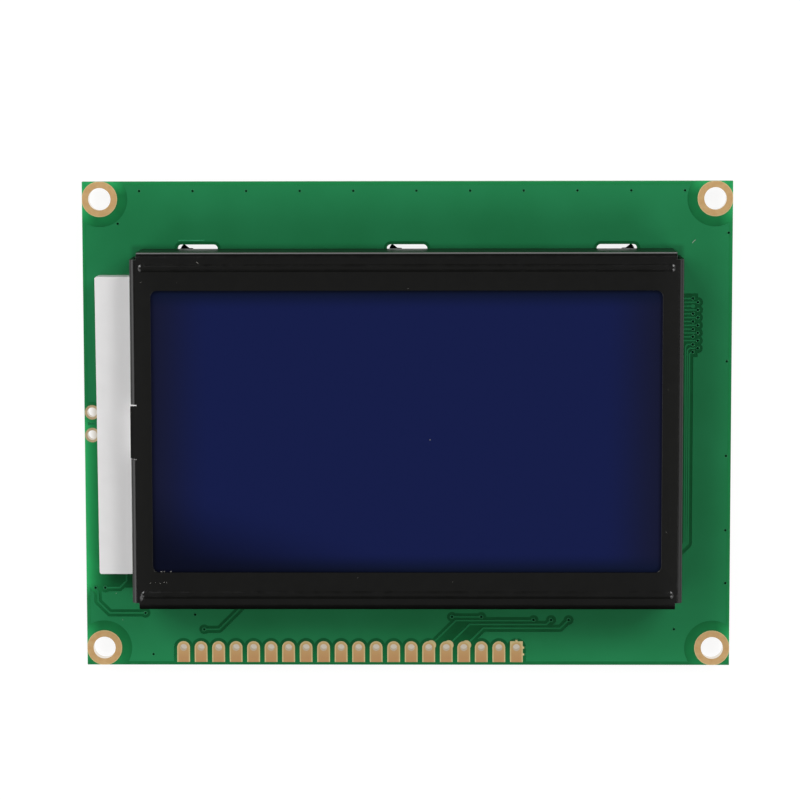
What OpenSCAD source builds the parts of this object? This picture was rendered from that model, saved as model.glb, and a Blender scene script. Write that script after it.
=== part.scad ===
// Graphic LCD module: a glass cell and an LED backlight, held on a printed board by a folded bezel.
// The module lies on its back. +X runs along the board, +Y away from the header row, +Z out of the display.
// The origin is the middle of the board, on the surface that the bezel's twisted tabs rest on.

/* [Window] */
// Length of the window in the bezel
window_w = 72; // [62:0.5:78]
// Height of the window
window_h = 40; // [34:0.5:44]
// Corner radius of the window
window_r = 0.9; // [0.3:0.1:2]

/* [Board] */
// Length of the board
board_w = 93; // [84:0.5:110]
// Height of the board
board_h = 70; // [63:0.5:90]
// Thickness of the board
board_t = 1.6; // [1:0.1:2.4]
// Thickness of the copper and its plating
copper_t = 0.05; // [0.04:0.01:0.1]
// Bare strip between the copper pour and the board's edge
pour_inset = 0.5; // [0.3:0.1:1]

/* [Mounting holes] */
// Distance of the holes from the board's edges
mount_edge = 2.5; // [2.2:0.1:4.5]
// Hole spacing along the board
mount_span_x = board_w - 2 * mount_edge; // [84:0.5:88.5]
// Hole spacing across the board
mount_span_y = board_h - 2 * mount_edge; // [62:0.5:65.5]
// Finished hole diameter
mount_d = 3.2; // [2.5:0.1:3.4]
// Diameter of the plated ring
mount_ring_d = 5.1; // [4.4:0.1:5.6]
// Radius kept free of copper around each hole
mount_keepout_r = 4; // [3:0.1:5]

/* [Header row] */
// Number of header holes
header_n = 20; // [16:1:22]
// Hole pitch
header_pitch = 2.54; // [2:0.02:2.54]
// Middle of the row, from the middle of the board
header_mid_x = -8.4; // [-10:0.1:0]
// Distance of the holes from the board's lower edge
header_edge = 2.54; // [2:0.02:3]
// Finished hole diameter
header_d = 1; // [0.8:0.05:1.2]
// Width of a pad
pad_w = 1.85; // [1.5:0.05:1.9]
// Distance of a pad's square end from the board's edge
pad_edge = 0.4; // [0.2:0.05:0.8]
// Bare gap between a pad and the pour
pad_gap = 0.46; // [0.2:0.02:0.6]
// Width of the spokes that join the first pad to the pour
spoke_w = 0.3; // [0.2:0.05:0.5]
// Distance between the two spokes beside that pad
spoke_step = 1; // [0.6:0.1:1.4]
// Plated length of these spokes, next to the pad
spoke_bare = 0.2; // [0.1:0.05:0.3]

/* [Backlight terminals] */
// Distance of the two terminal holes from the board's left edge
terminal_edge = 1.1; // [1.1:0.05:1.6]
// Terminal pitch
terminal_pitch = 3.3; // [2.6:0.1:5]
// Middle of the pair, across the board
terminal_mid_y = 0.2; // [-2:0.1:2]
// Finished hole diameter
terminal_d = 1.4; // [1:0.05:1.5]
// Diameter of the plated ring
terminal_ring_d = 2.1; // [1.8:0.05:2.2]

/* [Traces] */
// Width of a trace
trace_w = 0.22; // [0.15:0.01:0.3]
// Bare gap beside a trace
trace_gap = 0.42; // [0.2:0.02:0.6]
// Diameter of a via's land
via_land_d = 0.6; // [0.5:0.05:0.8]
// Distance of the outer left via from the board's left edge
left_via_edge = 1.3; // [1:0.05:2]
// Distance of the left vias above the bezel's lower side
left_via_up = 1.7; // [1:0.1:3]
// Step between the two left vias
left_via_step = 1.4; // [1.3:0.05:1.8]
// Length of the short jogs in the left traces
jog = 1; // [0.6:0.05:1.2]
// Distance of the via under the bezel's corner from its lower side
corner_via_down = 2; // [1.5:0.1:3]
// Distance of the slanted trace's via from the bezel's left side
jog_via_in = 9.5; // [6:0.5:12]
// Distance of that via below the bezel
jog_via_down = 4.4; // [3.5:0.1:5]
// Start of the link between two vias, right of the row's middle
link_shift = 14.8; // [12:0.1:16]
// Length of that link
link_len = 4.25; // [3:0.05:6]
// Distance of the link below the bezel
link_down = 2.55; // [2:0.05:2.6]
// Number of the first pad that has a trace, counted from the left
bundle_pad = 14; // [10:1:16]
// Number of pads with traces
bundle_n = 3; // [1:1:3]
// Distance of the first of these traces above the row
bundle_up = 3.96; // [3.7:0.02:4.2]
// Step from one of these traces to the next
bundle_drop = 0.56; // [0.45:0.01:0.7]
// Place of their first via, right of the row's middle
bundle_via_shift = 26.6; // [24:0.1:28]
// Distance of these vias above the row
bundle_via_up = 4.06; // [3.8:0.02:4.3]
// Distance of the via block's left column from the bezel's right side
block_out = 1.9; // [1.7:0.05:2.5]
// Step between the block's two columns
block_step_x = 0.7; // [0.6:0.05:0.9]
// Distance of the block's first row below the bezel's upper side
block_down = 7.2; // [5:0.1:12]
// Distance of the outermost bus trace from the bezel's right side
bus_out = 1.45; // [1.3:0.05:1.8]
// Distance of the bus's lower bend above the bezel's lower side
bus_up = 8.2; // [5:0.1:12]
// Number of bus traces
bus_n = 3; // [1:1:3]
// Row pitch in the via block at the right
block_pitch = 1.1; // [1:0.05:1.3]
// Number of rows in the via block
block_rows = 8; // [5:1:9]
// Pitch of the three bus traces
bus_pitch = 0.29; // [0.25:0.01:0.4]

/* [Display cell] */
// Thickness of each glass
glass_t = 1.1; // [0.7:0.1:1.2]
// Gap between the front glass and the bezel's sides
glass_gap = 0.5; // [0.2:0.05:0.7]
// Contact ledge of the front glass along each long side
ledge = 2.6; // [2.2:0.1:3]
// Thickness of each polariser
polariser_t = 0.2; // [0.1:0.05:0.3]
// Overlap of the polarisers behind the window's rim
polariser_lap = 1.2; // [0.6:0.1:1.4]
// Distance of the rear polariser's long edges from those of the rear glass
polariser_inset = 0.6; // [0.3:0.1:1.2]
// Width of the rubber connector strips
strip_w = 1.8; // [1.2:0.1:2]
// Distance of a strip's end from the glass's end
strip_end = 1; // [0.5:0.1:4]
// Pitch of the contacts under the strips
contact_pitch = 1.2; // [1:0.1:2]
// Width of a contact
contact_w = 0.7; // [0.4:0.05:0.8]

/* [Backlight] */
// Height of the backlight frame across the board
frame_h = 42.7; // [38:0.1:46]
// Mean gap between the backlight frame and the rubber strips
strip_gap = 0.85; // [0.5:0.05:1.5]
// Middle of the frame, across the board
frame_mid_y = 0.3; // [-0.3:0.05:0.4]
// Reach of the frame's end beyond the bezel's left side
lug_out = 5.4; // [5:0.1:6]
// Height of that end above the board
lug_rise = 4; // [3.4:0.1:4.6]
// How far the end's free edge runs out of square
lug_skew = 0.25; // [0:0.05:0.4]
// Chamfer on the free corners of that end
lug_chamfer = 0.2; // [0.1:0.05:0.6]
// Gap between that end and the bezel's side above it
lug_gap = 0.15; // [0.1:0.05:0.4]
// Wall of the frame
frame_wall = 0.9; // [0.6:0.05:1.1]
// Floor and roof of the frame
frame_floor = 0.8; // [0.5:0.05:0.9]
// Gap between the frame and the bezel's sides
frame_gap = 0.3; // [0.1:0.05:0.5]
// Clearance of the sheets and the light guide in the frame
sheet_gap = 0.2; // [0.1:0.05:0.4]
// Thickness of the reflector sheet
reflector_t = 0.2; // [0.1:0.05:0.3]
// Thickness of the diffuser sheet
diffuser_t = 0.3; // [0.1:0.05:0.5]
// Thickness of the LED board
led_board_t = 0.8; // [0.5:0.1:1]
// Number of LEDs
led_n = 6; // [4:1:8]
// Length of an LED
led_len = 3; // [2:0.1:3.5]
// Height of an LED
led_h = 1.4; // [1:0.1:1.6]
// Depth of an LED
led_deep = 0.9; // [0.6:0.1:1.2]
// Diameter of the two pins that feed the LED board
pin_d = 0.6; // [0.5:0.05:0.7]
// Distance of each pin from the middle of the frame
pin_shift = 5; // [4:0.5:15]
// Clearance of the pins in their holes
pin_gap = 0.15; // [0.1:0.05:0.25]
// Reach of the pins below the board
pin_reach = 1.2; // [0.8:0.1:1.4]

/* [Bezel] */
// Height of the bezel's front above the board
bezel_rise = 9.2; // [8.8:0.1:11]
// Thickness of the sheet
sheet_t = 0.5; // [0.3:0.05:0.6]
// Width of the bezel's rim left and right of the window
rim_x = 3; // [2.6:0.1:6]
// Outer length of the bezel
bezel_w = window_w + 2 * rim_x; // [77:0.5:80]
// Outer height of the bezel, about the frame, the strips and the glass on them
bezel_h = frame_h + 2 * strip_gap + strip_w + ledge + 2 * glass_gap + 2 * sheet_t; // [49:0.2:53]
// Outer radius of the folds
bend_r = 0.9; // [0.7:0.05:1.2]
// Square relief cut out of each corner
corner_relief = 1; // [0.8:0.05:1.5]
// Width of the stiffening beads
bead_w = 1.2; // [0.8:0.05:1.6]
// Height of the stiffening beads
bead_rise = 0.2; // [0.15:0.05:0.4]
// Distance of a bead's middle from the bezel's long side
bead_inset = 2.2; // [1.8:0.05:2.6]
// Distance of a bead's end from the bezel's short side
bead_end = 1.2; // [1.2:0.1:6]
// Length of the unfolded tongue in the left side
tongue_len = 7.4; // [4:0.2:12]
// Relief slit at each end of the tongue
tongue_slit = 0.2; // [0.2:0.05:0.8]

/* [Twist tabs] */
// Spacing of the tab slots
slot_pitch = 30; // [24:0.5:32]
// Length of a slot
slot_len = 5.8; // [4.6:0.1:7]
// Width of a slot
slot_w = 1.2; // [1:0.05:1.4]
// Gap between a slot's inner edge and the tab
slot_gap = 0.1; // [0.05:0.05:0.2]
// Width of a tab
tab_w = 1.8; // [1.4:0.1:2.2]
// Distance of a tab's edge from the end of its slot
tab_end = 0.35; // [0.35:0.05:1]
// Reach of a tab below the board
tab_reach = 1.6; // [1.5:0.1:2.4]
// Angle by which a tab is twisted
tab_twist = 40; // [15:1:60]

/* [Back of the board] */
// Diameter of the epoxy blobs over the chips
blob_d = 15; // [12:0.5:18]
// Height of the blobs
blob_h = 1.35; // [0.8:0.05:1.4]
// Spacing of the blobs
blob_pitch = 24; // [20:0.5:28]
// Row of the blobs, across the board
blob_y = -3; // [-6:0.5:6]
// Length of a chip resistor or capacitor
chip_len = 2; // [1.6:0.1:2.2]
// Width of a chip
chip_w = 1.25; // [0.8:0.05:1.3]
// Height of a resistor
resistor_h = 0.5; // [0.4:0.05:0.7]
// Height of a capacitor
capacitor_h = 0.85; // [0.6:0.05:1.2]
// Length of a chip's tinned end
chip_end = 0.35; // [0.2:0.05:0.5]
// Number of resistors
resistor_n = 6; // [2:1:8]
// Pitch of the resistors
resistor_pitch = 4; // [3:0.5:5]
// Row of the resistors, across the board
resistor_y = -17; // [-20:0.5:-14]
// Number of capacitors
capacitor_n = 4; // [2:1:5]
// Pitch of the capacitors
capacitor_pitch = 12; // [8:0.5:14]
// Row of the capacitors, across the board
capacitor_y = 11; // [10:0.5:18]

/* [Hidden] */
$fn = 64;
// Small overlap that lets a cut pass right through a face
cut = 1;

// Levels, from the surface that the tabs rest on
back_z = tab_reach;
top_z = back_z + board_t;
seat_z = top_z + copper_t;
front_z = seat_z + bezel_rise;
cell_z = front_z - sheet_t - polariser_t;
ledge_z = cell_z - glass_t;
frame_top_z = ledge_z - glass_t - polariser_t;
lug_top_z = seat_z + lug_rise;
floor_z = seat_z + frame_floor;
guide_z = floor_z + reflector_t;

// Places across the board
header_y = -board_h / 2 + header_edge;
header_first_x = header_mid_x - (header_n - 1) / 2 * header_pitch;
terminal_x = -board_w / 2 + terminal_edge;
tab_y = bezel_h / 2 - sheet_t / 2;
slot_y = bezel_h / 2 - sheet_t - slot_gap + slot_w / 2;
tab_shift = slot_len / 2 - tab_end - tab_w / 2;
tab_sides = [-1, -1, 1];
bead_y = bezel_h / 2 - bead_inset;
bead_r = (bead_w * bead_w / 4 + bead_rise * bead_rise) / (2 * bead_rise);

// Cell sizes
cell_w = bezel_w - 2 * sheet_t - 2 * glass_gap;
front_glass_h = bezel_h - 2 * sheet_t - 2 * glass_gap;
rear_glass_h = front_glass_h - 2 * ledge;
polariser_w = window_w + 2 * polariser_lap;
polariser_h = window_h + 2 * polariser_lap;
rear_polariser_h = rear_glass_h - 2 * polariser_inset;
strip_len = cell_w - 2 * strip_end;
strip_y = front_glass_h / 2 - ledge / 2;
contact_n = floor(strip_len / contact_pitch);

// Backlight places
frame_left = -bezel_w / 2 - lug_out;
frame_step = -bezel_w / 2 + sheet_t + frame_gap;
frame_right = bezel_w / 2 - sheet_t - frame_gap;
frame_low = frame_mid_y - frame_h / 2;
hollow_left = frame_left + lug_skew + frame_wall;
hollow_right = frame_right - frame_wall;
hollow_low = frame_low + frame_wall;
hollow_h = frame_h - 2 * frame_wall;
led_board_x = hollow_left + pin_d + sheet_gap;
led_board_h = lug_rise - 2 * frame_floor - sheet_gap / 2;
led_x = led_board_x + led_board_t;
guide_left = led_x + led_deep + sheet_gap;
guide_right = hollow_right - sheet_gap;
guide_low = hollow_low + sheet_gap;
guide_h = hollow_h - 2 * sheet_gap;
pin_x = led_board_x - pin_d / 2;

// Trace places, tied to the edges of the board and of the bezel
bezel_left = -bezel_w / 2;
bezel_low = -bezel_h / 2;
left_via_x = -board_w / 2 + left_via_edge;
left_via_y = bezel_low + left_via_up;
short_via_x = left_via_x + left_via_step;
turn_x = (frame_left + bezel_left) / 2;
low_via_y = bezel_low - corner_via_down;
corner_via_x = bezel_left + jog;
jog_via_x = bezel_left + jog_via_in;
jog_y = bezel_low - jog_via_down;
link_via_x = header_mid_x + link_shift;
link_y = bezel_low - link_down;
bundle_y = header_y + bundle_up;
bundle_via_x = header_mid_x + bundle_via_shift;
bundle_via_y = header_y + bundle_via_up;
block_x = bezel_w / 2 + block_out;
block_y = bezel_h / 2 - block_down;
bus_x = bezel_w / 2 + bus_out;
bus_end_y = bezel_low + bus_up;
under_bezel_x = bezel_w / 2 - sheet_t;
via_keepout_r = via_land_d / 2 + trace_gap;

function header_x(i) = header_first_x + i * header_pitch;

// Centre of via k in the block, counted from the top: even ones in the left column, odd ones in the right
function block_via(k) = [block_x + (k % 2) * block_step_x, block_y - k * block_pitch / 2];
block_n = 2 * block_rows - 1;

// Route from a block via straight under the bezel, or down the bus for the last ones
function block_route(k) =
    let (v = block_via(k), b = block_n - 1 - k, x = bus_x - b * bus_pitch)
    b >= bus_n
        ? [v, [under_bezel_x, v[1]]]
        : [v, [x + bus_pitch, v[1]], [x, v[1] - bus_pitch], [x, bus_end_y],
           [under_bezel_x, bus_end_y - (x - under_bezel_x)]];

// Route from a header pad, up at 45 degrees, along its level and up to its via
function bundle_route(i) =
    let (start = [header_x(bundle_pad + i) + pad_w / 4, header_y + pad_w / 4],
         level = bundle_y - i * bundle_drop,
         via = [bundle_via_x + i * header_pitch, bundle_via_y])
    [start, [start[0] + level - start[1], level], [via[0] - (via[1] - level), level], via];

left_routes = [
    [[short_via_x, left_via_y], [turn_x, left_via_y], [turn_x + jog, left_via_y + jog],
     [turn_x + jog, left_via_y + 2 * left_via_up]],
    [[left_via_x, left_via_y], [left_via_x + jog / 3, left_via_y - jog / 2],
     [left_via_x + jog / 3, left_via_y - 2 * jog],
     [left_via_x + left_via_y - low_via_y - 2 * jog + jog / 3, low_via_y], [corner_via_x, low_via_y]],
    [[jog_via_x, jog_y], [jog_via_x + jog_via_down / 2, jog_y],
     [jog_via_x + 3 * jog_via_down / 2, bezel_low]]
];
link_route = [[link_via_x, link_y], [link_via_x + link_len, link_y]];
bundle_routes = [for (i = [0 : bundle_n - 1]) bundle_route(i)];
block_routes = [for (k = [0 : block_n - 1]) block_route(k)];
routes = concat(left_routes, [link_route], bundle_routes, block_routes);
free_lands = concat([for (r = left_routes) r[0]], [[corner_via_x, low_via_y]], link_route,
                    [for (r = bundle_routes) r[3]]);
lands = concat(free_lands, [for (r = block_routes) r[0]]);

module at_mounts() {
    for (x = [-1, 1], y = [-1, 1])
        translate([x * mount_span_x / 2, y * mount_span_y / 2]) children();
}

module at_terminals() {
    for (y = [-1, 1]) translate([terminal_x, terminal_mid_y + y * terminal_pitch / 2]) children();
}

module at_header() {
    for (i = [0 : header_n - 1]) translate([header_x(i), header_y]) children();
}

module at_pins() {
    for (y = [-1, 1]) translate([pin_x, frame_mid_y + y * pin_shift]) children();
}

// Places its child at each tab slot
module at_slots() {
    for (side = [0, 1], i = [0 : 2])
        mirror([0, side, 0]) translate([(i - 1) * slot_pitch, slot_y]) children();
}

module centred(w, h) {
    square([w, h], center = true);
}

module rounded(w, h, r) {
    centred(w - 2 * r, h);
    centred(w, h - 2 * r);
    for (x = [-1, 1], y = [-1, 1]) translate([x * (w / 2 - r), y * (h / 2 - r)]) circle(r);
}

module slab(z, t) {
    translate([0, 0, z]) linear_extrude(t) children();
}

// Straight run of the given width between two points
module run(a, b, w) {
    d = b - a;
    translate(a) rotate(atan2(d[1], d[0])) translate([0, -w / 2]) square([norm(d), w]);
}

// Runs from point to point, round at each point
module route(points, w) {
    for (i = [0 : len(points) - 2]) run(points[i], points[i + 1], w);
    for (p = points) translate(p) circle(d = w);
}

// Header pad: round about the hole, square towards the board's edge; grow widens it all round
module pad_outline(grow, square_pad) {
    w = pad_w + 2 * grow;
    reach = header_edge - pad_edge + grow;
    translate([-w / 2, -reach]) square([w, reach + (square_pad ? w / 2 : 0)]);
    if (!square_pad) circle(d = w);
}

module board_outline() {
    centred(board_w, board_h);
}

// Slot with round ends; grow widens it all round
module slot_outline(grow) {
    w = slot_w + 2 * grow;
    centred(slot_len - slot_w, w);
    for (x = [-1, 1]) translate([x * (slot_len - slot_w) / 2, 0]) circle(d = w);
}

// Everything that stays free of the copper pour
module pour_keepout() {
    at_mounts() circle(mount_keepout_r);
    at_terminals() circle(terminal_ring_d / 2 + pad_gap);
    at_header() circle(pad_w / 2 + pad_gap);
    translate([header_x(0) - pad_w / 2 - pad_gap, header_y - header_edge])
        square([(header_n - 1) * header_pitch + pad_w + 2 * pad_gap, header_edge]);
    at_slots() slot_outline(trace_gap);
    at_pins() circle(pin_d / 2 + pin_gap + trace_gap);
    for (r = concat(left_routes, [link_route], bundle_routes)) route(r, trace_w + 2 * trace_gap);
    for (v = free_lands) translate(v) circle(via_keepout_r);
    left_keepout();
    if (bundle_n > 1) bundle_keepout();
    block_keepout();
    centred(cell_w, front_glass_h);
}

// Bare strip at the left, from below the terminals down to the left vias
module left_keepout() {
    high = terminal_mid_y - terminal_pitch / 2 - terminal_ring_d / 2;
    translate([-board_w / 2, left_via_y]) square([bezel_left + board_w / 2, high - left_via_y]);
}

// Bare patch between the slanted starts of the bundle's traces
module bundle_keepout() {
    first = bundle_routes[0];
    last = bundle_routes[bundle_n - 1];
    polygon([first[0], first[1], last[1], last[0]]);
}

// Bare patch about the via block, scalloped along its right side, and the bare lane of the bus below it
module block_keepout() {
    first = block_via(0);
    last = block_via(block_n - 1);
    translate([under_bezel_x, last[1] - via_keepout_r])
        square([first[0] + block_step_x - under_bezel_x, first[1] - last[1] + 2 * via_keepout_r]);
    for (k = [1 : 2 : block_n - 1]) translate(block_via(k)) circle(via_keepout_r);
    lane_w = (bus_n - 1) * bus_pitch + trace_w + 2 * trace_gap;
    lane = block_route(block_n - 2);
    route([for (i = [1 : len(lane) - 1]) lane[i]], lane_w);
}

// Contacts that the rubber connectors stand on
module strip_contacts() {
    for (y = [-1, 1], i = [0 : contact_n - 1])
        translate([(i - (contact_n - 1) / 2) * contact_pitch, y * strip_y])
            centred(contact_w, strip_w - trace_gap);
}

// Spokes of the square pad of pin 1, between two distances from its hole
module first_pad_spokes(start, reach) {
    translate([-spoke_w / 2, start]) square([spoke_w, reach - start]);
    for (y = [0, -spoke_step]) translate([start, y - spoke_w / 2]) square([reach - start, spoke_w]);
}

// Shoulder of a pad towards its slanted trace; grow widens it all round
module pad_shoulder(grow) {
    translate([pad_w / 5, pad_w / 5]) circle(d = 3 * pad_w / 4 + 2 * grow);
}

module pcb() {
    color("#1c6e41") slab(back_z, board_t) difference() {
        board_outline();
        at_mounts() circle(d = mount_d + 2 * copper_t);
        at_header() circle(d = header_d + 2 * copper_t);
        at_terminals() circle(d = terminal_d + 2 * copper_t);
        at_pins() circle(d = pin_d + 2 * pin_gap);
        at_slots() slot_outline(0);
    }
}

module front_copper() {
    color("#23824c") slab(top_z, copper_t) {
        difference() {
            centred(board_w - 2 * pour_inset, board_h - 2 * pour_inset);
            pour_keepout();
        }
        translate([header_x(header_n - 1), header_y])
            first_pad_spokes(pad_w / 2 + spoke_bare + copper_t, pad_w / 2 + pad_gap + trace_gap);
        strip_contacts();
        difference() {
            union() {
                for (r = routes) route(r, trace_w);
                for (v = lands) translate(v) circle(d = via_land_d);
            }
            at_header() {
                pad_outline(copper_t, false);
                pad_shoulder(copper_t);
            }
        }
    }
}

// Plated hole: a land on each face and a barrel between them
module eyelet(hole_d) {
    difference() {
        union() {
            slab(top_z, copper_t) children(0);
            slab(back_z - copper_t, copper_t) children(1);
            slab(back_z, board_t) circle(d = hole_d + 2 * copper_t);
        }
        slab(back_z - cut, board_t + 2 * cut) circle(d = hole_d);
    }
}

module mounting_rings() {
    color("#c4a068") intersection() {
        at_mounts() eyelet(mount_d) {
            circle(d = mount_ring_d);
            circle(d = mount_ring_d);
        }
        slab(back_z - cut, board_t + 2 * cut) board_outline();
    }
}

module header_pads() {
    color("#b98f5c") for (i = [0 : header_n - 1])
        translate([header_x(i), header_y]) eyelet(header_d) {
            union() {
                pad_outline(0, i == header_n - 1);
                if (i == header_n - 1) first_pad_spokes(0, pad_w / 2 + spoke_bare);
                if (i >= bundle_pad && i < bundle_pad + bundle_n) pad_shoulder(0);
            }
            circle(d = pad_w);
        }
}

module backlight_pads() {
    color("#c4a068") at_terminals() eyelet(terminal_d) {
        circle(d = terminal_ring_d);
        circle(d = terminal_ring_d);
    }
}

// Section of a folded channel: flat front, round folds and straight sides down to the board
module channel_outline(w, h, r) {
    translate([-w / 2, 0]) square([w, h - r]);
    translate([-w / 2 + r, 0]) square([w - 2 * r, h]);
    for (x = [-1, 1]) translate([x * (w / 2 - r), h - r]) circle(r);
}

module channel(w, length) {
    rotate([90, 0, 0]) linear_extrude(length, center = true) difference() {
        channel_outline(w, bezel_rise, bend_r);
        translate([0, -cut]) channel_outline(w - 2 * sheet_t, bezel_rise - sheet_t + cut, bend_r - sheet_t);
    }
}

// Round rod with ball ends whose top stands bead_rise above the given level
module bead_rod(level) {
    reach = bezel_w / 2 - bead_end - bead_w / 2;
    translate([0, 0, level + bead_rise - bead_r]) {
        rotate([0, 90, 0]) cylinder(r = bead_r, h = 2 * reach, center = true);
        for (x = [-1, 1]) translate([x * reach, 0, 0]) sphere(bead_r);
    }
}

// Part of a bead rod that stands above the given level
module bead(level) {
    intersection() {
        bead_rod(level);
        translate([-bezel_w / 2, -bead_w, level]) cube([bezel_w, 2 * bead_w, 2 * bead_rise]);
    }
}

// Tab through the board, twisted below it
module twist_tab(side) {
    slab(back_z, seat_z - back_z) centred(tab_w, sheet_t);
    translate([0, 0, back_z]) mirror([0, 0, 1])
        linear_extrude(tab_reach, twist = -side * tab_twist, slices = 8, segments = 4)
            centred(tab_w, sheet_t);
}

module bezel_blank() {
    channel(bezel_w, bezel_h - 2 * corner_relief);
    rotate(90) channel(bezel_h, bezel_w - 2 * corner_relief);
    for (y = [-1, 1]) translate([0, y * bead_y, 0]) bead(bezel_rise);
}

module bezel() {
    tongue_cut = tongue_len + 2 * tongue_slit;
    color("#1e1e1e") {
        translate([0, 0, seat_z]) {
            difference() {
                bezel_blank();
                for (y = [-1, 1]) translate([0, y * bead_y, 0]) bead(bezel_rise - sheet_t);
                linear_extrude(bezel_rise + cut) rounded(window_w, window_h, window_r);
                translate([-bezel_w / 2 - cut, frame_low - lug_gap, -cut])
                    cube([cut + corner_relief, frame_h + 2 * lug_gap, lug_rise + lug_gap + cut]);
                translate([-bezel_w / 2 - cut, -tongue_cut / 2, -cut])
                    cube([cut + bend_r, tongue_cut, bezel_rise + 2 * cut]);
            }
            translate([-bezel_w / 2, -tongue_len / 2, bezel_rise - sheet_t])
                cube([2 * bend_r, tongue_len, sheet_t]);
        }
        for (side = [0, 1], i = [0 : 2])
            mirror([0, side, 0])
                translate([(i - 1) * slot_pitch + tab_sides[i] * tab_shift, tab_y])
                    twist_tab(tab_sides[i]);
    }
}

module front_polariser() {
    color("#141b43") slab(cell_z, polariser_t) centred(polariser_w, polariser_h);
}

module front_glass() {
    color("#9fb4b8") slab(ledge_z, glass_t) centred(cell_w, front_glass_h);
}

module rear_glass() {
    color("#9fb4b8") slab(ledge_z - glass_t, glass_t) centred(cell_w, rear_glass_h);
}

module rear_polariser() {
    color("#141b43") slab(frame_top_z, polariser_t) centred(polariser_w, rear_polariser_h);
}

module zebra_strip(side) {
    color("#8c5a5a") slab(seat_z, ledge_z - seat_z)
        translate([0, side * strip_y]) centred(strip_len, strip_w);
}

module zebra_strip_upper() {
    zebra_strip(1);
}

module zebra_strip_lower() {
    zebra_strip(-1);
}

// Outline of the frame in plan, with the free edge of its left end out of square
module frame_outline() {
    high = frame_low + frame_h;
    polygon([
        [frame_left + lug_chamfer, high], [frame_left, high - lug_chamfer],
        [frame_left + lug_skew, frame_low + lug_chamfer], [frame_left + lug_skew + lug_chamfer, frame_low],
        [frame_right, frame_low], [frame_right, high]
    ]);
}

// Box in the frame's hollow, from left to right, at a level and of a height
module hollow(left, right, level, height) {
    translate([left, hollow_low, level]) cube([right - left, hollow_h, height]);
}

module backlight_frame() {
    color("#d2d1d1") difference() {
        slab(seat_z, frame_top_z - seat_z) frame_outline();
        translate([frame_left - cut, frame_low - cut, lug_top_z])
            cube([frame_step - frame_left + cut, frame_h + 2 * cut, frame_top_z - lug_top_z + cut]);
        hollow(hollow_left, hollow_right, floor_z, lug_rise - 2 * frame_floor);
        hollow(frame_step + frame_wall, hollow_right, floor_z, frame_top_z - floor_z + cut);
        slab(seat_z - cut, frame_floor + 2 * cut) at_pins() circle(d = pin_d + 2 * pin_gap);
    }
}

module light_guide() {
    main_left = frame_step + frame_wall + sheet_gap;
    color("#e4ecee") {
        translate([main_left, guide_low, guide_z])
            cube([guide_right - main_left, guide_h, frame_top_z - diffuser_t - guide_z]);
        translate([guide_left, guide_low, guide_z])
            cube([main_left - guide_left, guide_h, lug_rise - 2 * frame_floor - reflector_t - sheet_gap / 2]);
    }
}

module diffuser_sheet() {
    left = frame_step + frame_wall + sheet_gap;
    color("#f2f2f0") translate([left, guide_low, frame_top_z - diffuser_t])
        cube([guide_right - left, guide_h, diffuser_t]);
}

module reflector_sheet() {
    color("#fafafa") translate([guide_left, guide_low, floor_z])
        cube([guide_right - guide_left, guide_h, reflector_t]);
}

module led_board() {
    color("#e9e4d2") translate([led_board_x, guide_low, floor_z]) cube([led_board_t, guide_h, led_board_h]);
}

module leds() {
    pitch = guide_h / led_n;
    color("#f3f0c0") for (i = [0 : led_n - 1])
        translate([led_x, frame_mid_y + (i - (led_n - 1) / 2) * pitch - led_len / 2,
                   floor_z + (led_board_h + reflector_t - led_h) / 2])
            cube([led_deep, led_len, led_h]);
}

module backlight_pins() {
    pin_len = floor_z + led_board_h / 2 - back_z + pin_reach;
    color("#c9c9c4") at_pins() slab(back_z - pin_reach, pin_len) circle(d = pin_d);
}

// Solder cone about each pin, on the back of the board
module pin_solder() {
    foot_r = pin_d / 2 + 3 * pin_gap;
    tip_r = pin_d / 2 + pin_gap / 2;
    height = pin_reach - pin_gap;
    color("#b9bbbd") at_pins() translate([0, 0, back_z]) mirror([0, 0, 1]) difference() {
        cylinder(r1 = foot_r, r2 = tip_r, h = height);
        translate([0, 0, -cut]) cylinder(d = pin_d, h = height + 2 * cut);
    }
}

// Cap of a ball, domed downwards from the back of the board
module blob(x) {
    ball_r = (blob_d * blob_d / 4 + blob_h * blob_h) / (2 * blob_h);
    color("#101010") translate([x, blob_y, back_z]) mirror([0, 0, 1]) rotate_extrude() intersection() {
        translate([0, blob_h - ball_r]) circle(ball_r, $fn = 360);
        square([blob_d, blob_h]);
    }
}

module controller_blob() {
    blob(0);
}

module driver_blob_left() {
    blob(-blob_pitch);
}

module driver_blob_right() {
    blob(blob_pitch);
}

// Row of like chips on the back of the board
module chip_row(n, pitch, y) {
    for (i = [0 : n - 1]) translate([(i - (n - 1) / 2) * pitch, y, back_z]) children();
}

module chip_body(height) {
    translate([-chip_len / 2 + chip_end, -chip_w / 2, -height])
        cube([chip_len - 2 * chip_end, chip_w, height]);
}

module chip_ends(height) {
    for (x = [-chip_len / 2, chip_len / 2 - chip_end])
        translate([x, -chip_w / 2, -height]) cube([chip_end, chip_w, height]);
}

module chip_resistors() {
    color("#1b1b1d") chip_row(resistor_n, resistor_pitch, resistor_y) chip_body(resistor_h);
}

module chip_capacitors() {
    color("#a9805a") chip_row(capacitor_n, capacitor_pitch, capacitor_y) chip_body(capacitor_h);
}

module chip_end_caps() {
    color("#c3c3c0") {
        chip_row(resistor_n, resistor_pitch, resistor_y) chip_ends(resistor_h);
        chip_row(capacitor_n, capacitor_pitch, capacitor_y) chip_ends(capacitor_h);
    }
}

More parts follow.
